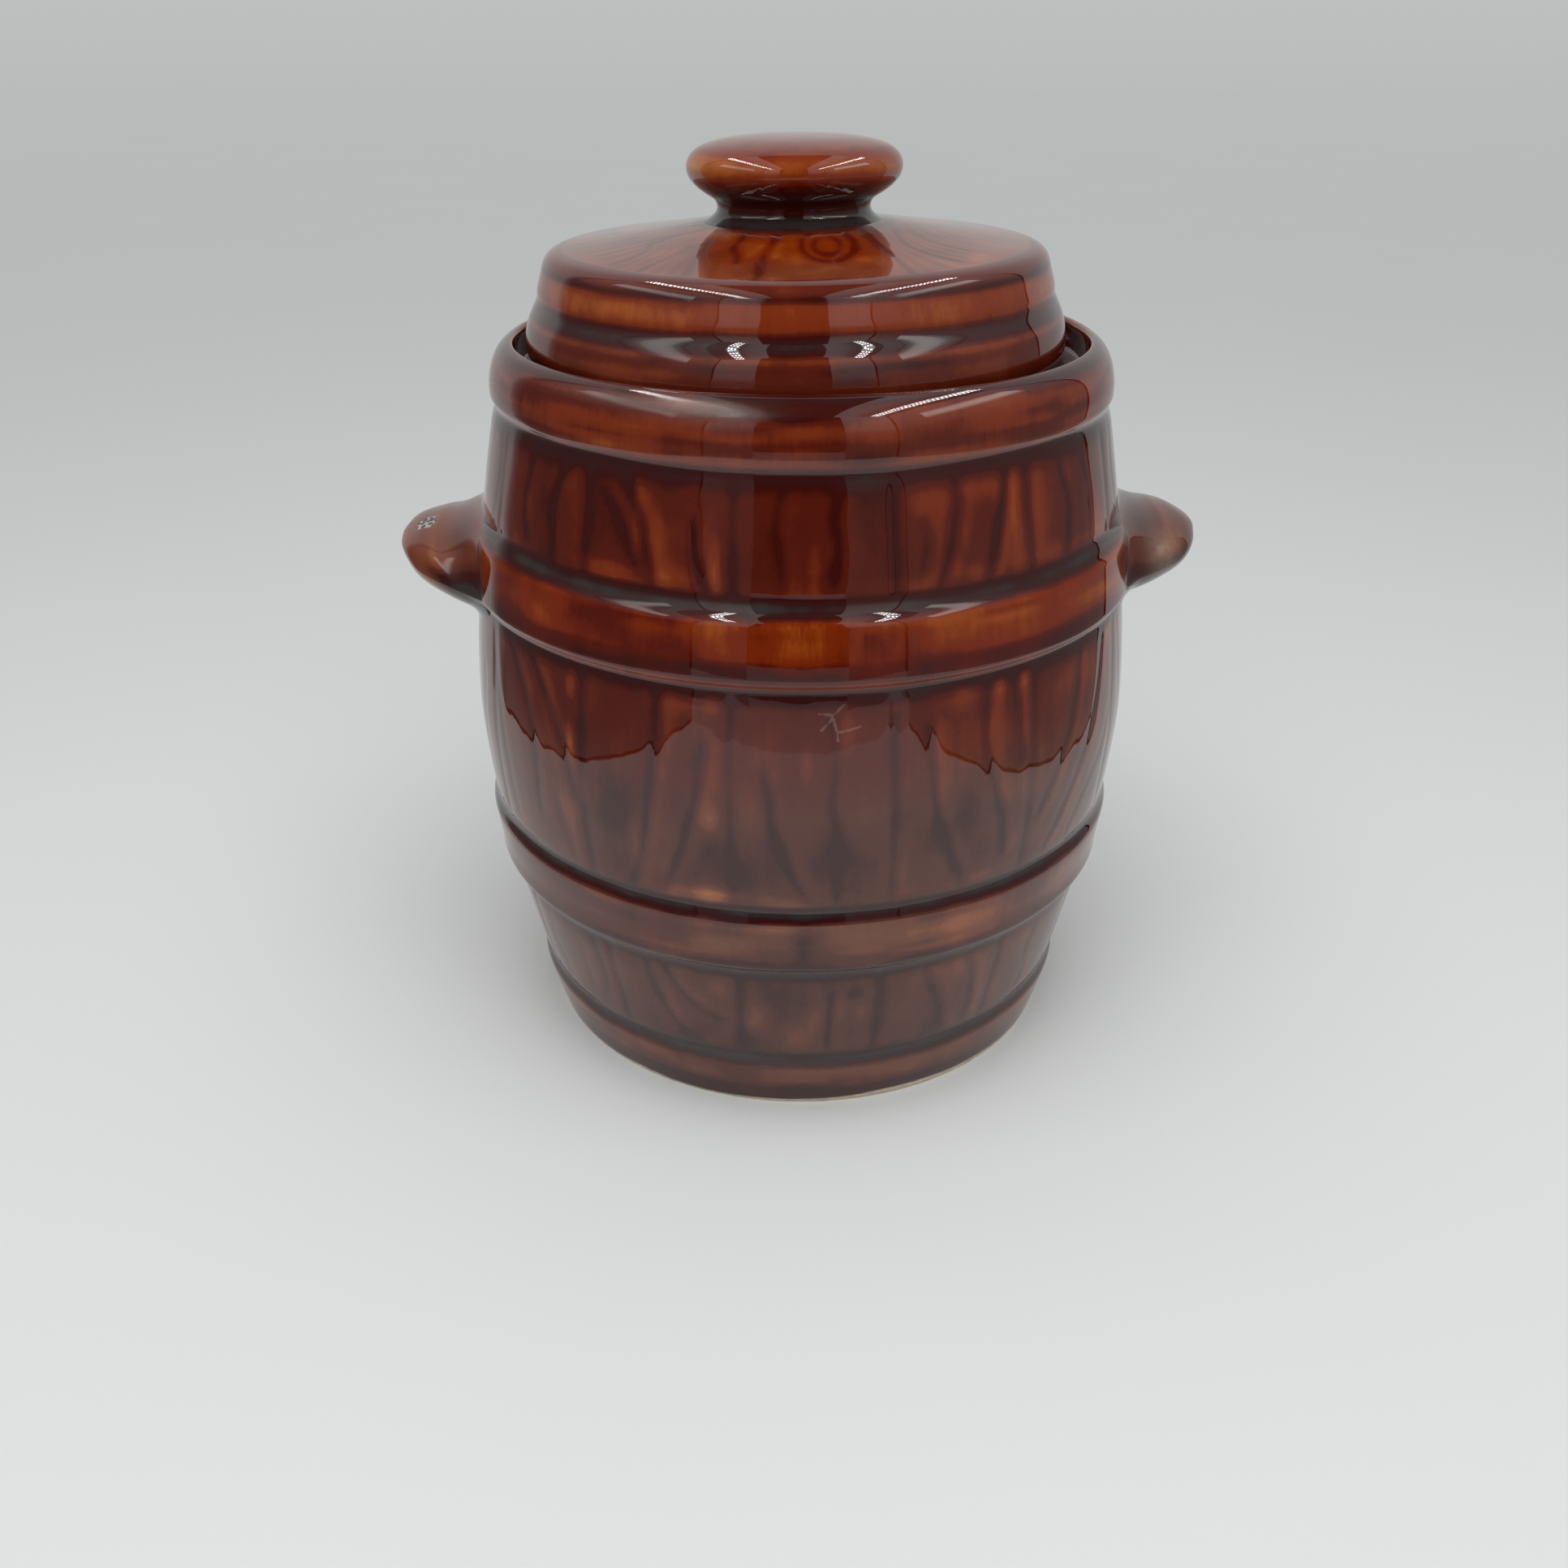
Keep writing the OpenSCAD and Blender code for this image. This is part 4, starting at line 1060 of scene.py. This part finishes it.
        link(co.outputs["Object"], sep.inputs[0])
        in_front = math_node("LESS_THAN", sep.outputs["Y"], -0.05)
        width = math_node("ADD", 0.00034, math_node("MULTIPLY", speck, 0.0013))
        line = math_node("MULTIPLY", math_node("SUBTRACT", width, near), 3500.0, clamp=True)
        line = math_node("MULTIPLY", math_node("MULTIPLY", line, in_front), 0.30)
        pale_line_mix = N("ShaderNodeMix")
        pale_line_mix.data_type = "RGBA"
        link(line, pale_line_mix.inputs["Factor"])
        link(flaw.outputs[2], pale_line_mix.inputs[6])
        pale_line_mix.inputs[7].default_value = (0.30, 0.20, 0.17, 1.0)
        link(pale_line_mix.outputs[2], bsdf.inputs["Base Color"])
        rough = math_node("ADD", rough, math_node("MULTIPLY", line, 0.5))
    rough = math_node("ADD", rough, math_node("MULTIPLY", attr("matt"), 0.24))
    rough = math_node("ADD", rough, math_node("MULTIPLY", bare_and_shine, 0.72), clamp=True)
    link(rough, bsdf.inputs["Roughness"])

    peel = noise_node(170.0, 2.0, None, 0.45, 29.0)
    grit = math_node("MULTIPLY", noise_node(1500.0, 3.0, None, 0.6, 31.0), bare_and_shine)
    hgt = math_node("ADD", math_node("MULTIPLY", peel, 0.35), math_node("MULTIPLY", grit, 0.5))
    hgt = math_node("SUBTRACT", hgt, math_node("MULTIPLY", math_node("MULTIPLY", crater, broken), 6.0))
    bump = N("ShaderNodeBump")
    bump.inputs["Strength"].default_value = 0.08
    bump.inputs["Distance"].default_value = 0.0006
    link(hgt, bump.inputs["Height"])
    link(bump.outputs["Normal"], bsdf.inputs["Normal"])
    return m


CROCK_STOPS = [
    (0.00, (0.40, 0.155, 0.022)),
    (0.20, (0.300, 0.057, 0.0055)),
    (0.36, (0.186, 0.0190, 0.0016)),
    (0.52, (0.090, 0.0054, 0.0013)),
    (0.68, (0.046, 0.0036, 0.0015)),
    (0.84, (0.037, 0.0090, 0.0080)),
    (1.00, (0.041, 0.0320, 0.0320)),
]
BROWN_STOPS = [
    (0.00, (0.40, 0.175, 0.060)),
    (0.20, (0.300, 0.1035, 0.0436)),
    (0.36, (0.1685, 0.0521, 0.0252)),
    (0.52, (0.0925, 0.0237, 0.0128)),
    (0.68, (0.041, 0.0050, 0.0046)),
    (0.84, (0.032, 0.0062, 0.0078)),
    (1.00, (0.035, 0.0270, 0.0280)),
]
LID_STOPS = [
    (0.00, (0.44, 0.180, 0.026)),
    (0.20, (0.330, 0.070, 0.0068)),
    (0.36, (0.210, 0.0230, 0.0020)),
    (0.52, (0.110, 0.0066, 0.0014)),
    (0.68, (0.052, 0.0040, 0.0014)),
    (0.84, (0.036, 0.0085, 0.0080)),
    (1.00, (0.040, 0.0310, 0.0310)),
]
# runs of (x, height) in mm along which pale, rougher lines are drawn on the belly's front
PALE_LINES = [
    [(3.7, 130.0), (7.1, 129.6), (9.7, 132.1)],
    [(7.1, 129.6), (6.6, 128.2), (4.3, 125.8)],
    [(7.1, 128.8), (8.2, 125.0), (8.4, 123.2)],
    [(8.2, 125.0), (10.8, 125.6), (13.9, 126.4)],
]
crock_mat = glaze("crock_glaze", CROCK_STOPS, BROWN_STOPS, 1.0, PALE_LINES)
lid_mat = glaze("lid_glaze", LID_STOPS, BROWN_STOPS, 4.0)

crock = build_crock()
crock.data.materials.append(crock_mat)
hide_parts("crock_body")
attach(crock, "crock")
for node in LUGS:
    lug = build_lug(node)
    lug.data.materials.append(crock_mat)
    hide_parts(node)
    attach(lug, "crock")
lid = build_lid()
lid.data.materials.append(lid_mat)
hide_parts("lid")
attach(lid, "lid")
knob = build_knob()
knob.data.materials.append(lid_mat)
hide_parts("lid_knob")
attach(knob, "lid")

# ---------------------------------------------------------------- floor, light, camera


def sheet(name, corners, mat):
    me = bpy.data.meshes.new(name)
    me.from_pydata(corners, [], [list(range(k, k + 4)) for k in range(0, len(corners), 4)])
    me.update()
    ob = bpy.data.objects.new(name, me)
    bpy.context.scene.collection.objects.link(ob)
    me.materials.append(mat)
    return ob


def floor_material():
    m = bpy.data.materials.new("pale_floor")
    m.use_nodes = True
    nt = m.node_tree
    b = nt.nodes["Principled BSDF"]
    b.inputs["Roughness"].default_value = 0.9
    b.inputs["Specular IOR Level"].default_value = 0.0
    co = nt.nodes.new("ShaderNodeTexCoord")
    n = nt.nodes.new("ShaderNodeTexNoise")
    n.inputs["Scale"].default_value = 6.0
    n.inputs["Detail"].default_value = 3.0
    r = nt.nodes.new("ShaderNodeValToRGB")
    r.color_ramp.elements[0].color = (0.785, 0.80, 0.795, 1.0)
    r.color_ramp.elements[1].color = (0.805, 0.82, 0.815, 1.0)
    nt.links.new(co.outputs["Object"], n.inputs["Vector"])
    nt.links.new(n.outputs["Fac"], r.inputs["Fac"])
    nt.links.new(r.outputs["Color"], b.inputs["Base Color"])
    return m


def glow(name, stops, axis="Z"):
    """The glow of a card; stops are (place along the axis in m, radiance), or one radiance for all of it."""
    m = bpy.data.materials.new(name)
    m.use_nodes = True
    nt = m.node_tree
    nt.nodes.clear()
    out = nt.nodes.new("ShaderNodeOutputMaterial")
    em = nt.nodes.new("ShaderNodeEmission")
    em.inputs["Color"].default_value = (1.0, 1.0, 0.99, 1.0)
    nt.links.new(em.outputs[0], out.inputs["Surface"])
    if isinstance(stops, (int, float)):
        em.inputs["Strength"].default_value = stops
        return m
    co = nt.nodes.new("ShaderNodeTexCoord")
    sep = nt.nodes.new("ShaderNodeSeparateXYZ")
    nt.links.new(co.outputs["Object"], sep.inputs[0])
    curve = nt.nodes.new("ShaderNodeFloatCurve")
    pts = curve.mapping.curves[0].points
    gain = max(1.0, max(v for _, v in stops))
    for k, (z, v) in enumerate(stops):
        v = v / gain
        if k < 2:
            pts[k].location = (z, v)
        else:
            pts.new(z, v)
    curve.mapping.update()
    size = nt.nodes.new("ShaderNodeMath")
    size.operation = "ABSOLUTE"
    nt.links.new(sep.outputs[axis], size.inputs[0])
    nt.links.new(size.outputs[0], curve.inputs["Value"])
    strong = nt.nodes.new("ShaderNodeMath")
    strong.operation = "MULTIPLY"
    strong.inputs[1].default_value = gain
    nt.links.new(curve.outputs["Value"], strong.inputs[0])
    nt.links.new(strong.outputs[0], em.inputs["Strength"])
    return m


def only_in_gloss(ob):
    ob.visible_camera = False
    ob.visible_diffuse = False
    ob.visible_transmission = False
    ob.visible_volume_scatter = False
    ob.visible_shadow = False


def upright(name, x0, y0, x1, y1, z0, z1, mat):
    ob = sheet(name, [(x0, y0, z0), (x1, y1, z0), (x1, y1, z1), (x0, y0, z1)], mat)
    only_in_gloss(ob)
    return ob


floor = sheet("floor", [(-60, -60, 0), (60, -60, 0), (60, 60, 0), (-60, 60, 0)], floor_material())

# soft white panels around the object, seen only in its gloss
XL, XR, YF, YB, ZT = -0.318, 0.297, -0.500, 0.097, 0.56
FZ = 0.045
upright("panel_left", XL, YB, XL, YF, 0.0, ZT, glow("panel_left", [(0.0, 0.22), (0.1, 0.10), (0.24, 0.09), (0.34, 0.26), (0.56, 0.65)]))
upright("panel_right", XR, YF, XR, YB, 0.0, ZT, glow("panel_right", [(0.0, 0.31), (0.1, 0.22), (0.24, 0.21), (0.34, 0.40), (0.56, 0.78)]))
upright("panel_front_left", XL, YF, -0.140, YF, FZ, ZT, glow("panel_front_left", [(0.0, 0.20), (0.1, 0.16), (0.24, 0.17), (0.34, 0.55), (0.56, 0.90)]))
upright("panel_front_right", 0.119, YF, XR, YF, FZ, ZT, glow("panel_front_right", [(0.0, 0.21), (0.1, 0.17), (0.24, 0.18), (0.34, 0.58), (0.56, 0.92)]))
upright("panel_left_end", XL, YB + 0.055, XL, YB, 0.0, ZT, glow("panel_left_end", [(0.097, 0.12), (0.110, 0.16), (0.135, 0.36), (0.152, 0.55)], "Y"))
upright("opening", -1.2, -0.98, 1.2, -0.98, -0.1, 1.6, glow("opening", 0.020))
dim = glow("seam", 0.006)
upright("seam_left", XL + 0.0015, YF + 0.010, XL + 0.0065, YF + 0.002, FZ, ZT, dim)
upright("seam_right", XR - 0.0015, YF + 0.010, XR - 0.0065, YF + 0.002, FZ, ZT, dim)
upright("seam_back", XR - 0.0015, YB - 0.007, XR - 0.004, YB, 0.0, ZT, dim)
upright("seam_low_left", XL + 0.001, YB, XL + 0.001, YF, 0.0, 0.004, dim)
upright("seam_low_right", XR - 0.001, YF, XR - 0.001, YB, 0.0, 0.004, dim)
shine = [(0.355, 0.25), (0.385, 1.4), (0.42, 3.4), (0.455, 1.6), (0.485, 0.4)]
upright("shine_left", XL + 0.002, 0.0, XL + 0.002, -0.33, 0.355, 0.485, glow("shine_left", [(z, 0.65 * v) for z, v in shine]))
upright("shine_right", XR - 0.002, -0.33, XR - 0.002, 0.0, 0.355, 0.485, glow("shine_right", [(z, 0.85 * v) for z, v in shine]))
ceiling = sheet(
    "ceiling",
    [(XL, YF, ZT), (XL, YB, ZT), (-0.11, YB, ZT), (-0.11, YF, ZT), (0.10, YF, ZT), (0.10, YB, ZT), (XR, YB, ZT), (XR, YF, ZT)],
    glow("ceiling", [(0.09, 0.95), (0.16, 0.80), (0.21, 0.42), (0.27, 0.30), (0.32, 0.30)], "X"),
)
only_in_gloss(ceiling)
hole = sheet("ceiling_gap", [(-0.11, YF, ZT), (-0.11, YB, ZT), (0.10, YB, ZT), (0.10, YF, ZT)], glow("ceiling_gap", 0.06))
only_in_gloss(hole)
apron = sheet(
    "apron",
    [(-1.2, -0.98, 0.0006), (1.2, -0.98, 0.0006), (1.2, YF, 0.0006), (-1.2, YF, 0.0006)],
    glow("apron", [(0.49, 0.56), (0.60, 0.46), (0.98, 0.28)], "Y"),
)
only_in_gloss(apron)

# two strips of small lamps overhead, seen only in the gloss
dots, bars = [], []
for sx in (-0.160, 0.174):
    bars += [(sx - 0.014, -0.37, 0.452), (sx + 0.014, -0.37, 0.452), (sx + 0.014, 0.08, 0.452), (sx - 0.014, 0.08, 0.452)]
    for k in range(28):
        y = -0.362 + k * 0.0160
        for dx in (-0.0092, 0.0, 0.0092):
            h = 0.0021
            dots += [(sx + dx - h, y - h, 0.451), (sx + dx + h, y - h, 0.451), (sx + dx + h, y + h, 0.451), (sx + dx - h, y + h, 0.451)]
only_in_gloss(sheet("lamp_bars", bars, glow("lamp_bars", 3.6)))
only_in_gloss(sheet("lamp_dots", dots, glow("lamp_dots", 55.0)))

world = bpy.data.worlds.new("pale_world")
bpy.context.scene.world = world
world.use_nodes = True
bg = world.node_tree.nodes["Background"]
bg.inputs["Color"].default_value = (0.985, 1.0, 1.0, 1.0)
bg.inputs["Strength"].default_value = 0.55


def area(name, loc, aim, sx, sy, radiance):
    d = bpy.data.lights.new(name, "AREA")
    d.shape = "RECTANGLE"
    d.size, d.size_y = sx, sy
    d.energy = math.pi * radiance * sx * sy
    ob = bpy.data.objects.new(name, d)
    bpy.context.scene.collection.objects.link(ob)
    ob.location = loc
    v = [a - b for a, b in zip(aim, loc)]
    ob.rotation_euler = mathutils.Vector(v).to_track_quat("-Z", "Y").to_euler()
    ob.visible_camera = False
    ob.visible_glossy = False
    return ob


area("softbox", (0.0, -0.34, 0.80), (0.0, -0.20, 0.0), 0.8, 0.6, 2.3)
area("far_fill", (0.0, 32.0, 5.0), (0.0, 32.0, 0.0), 90.0, 60.0, 0.10)

cam_data = bpy.data.cameras.new("camera")
cam_data.sensor_width = 36.0
cam_data.lens = 36.0 * 1900.0 / 1932.0
cam_data.clip_start = 0.01
cam_data.clip_end = 200.0
cam = bpy.data.objects.new("camera", cam_data)
bpy.context.scene.collection.objects.link(cam)
cam.location = (-0.0047, -0.4296, 0.2868)
cam.rotation_euler = (math.radians(90.0 - 27.57), 0.0, 0.0)
bpy.context.scene.camera = cam

bpy.context.scene.view_settings.view_transform = "Standard"
bpy.context.scene.view_settings.look = "None"
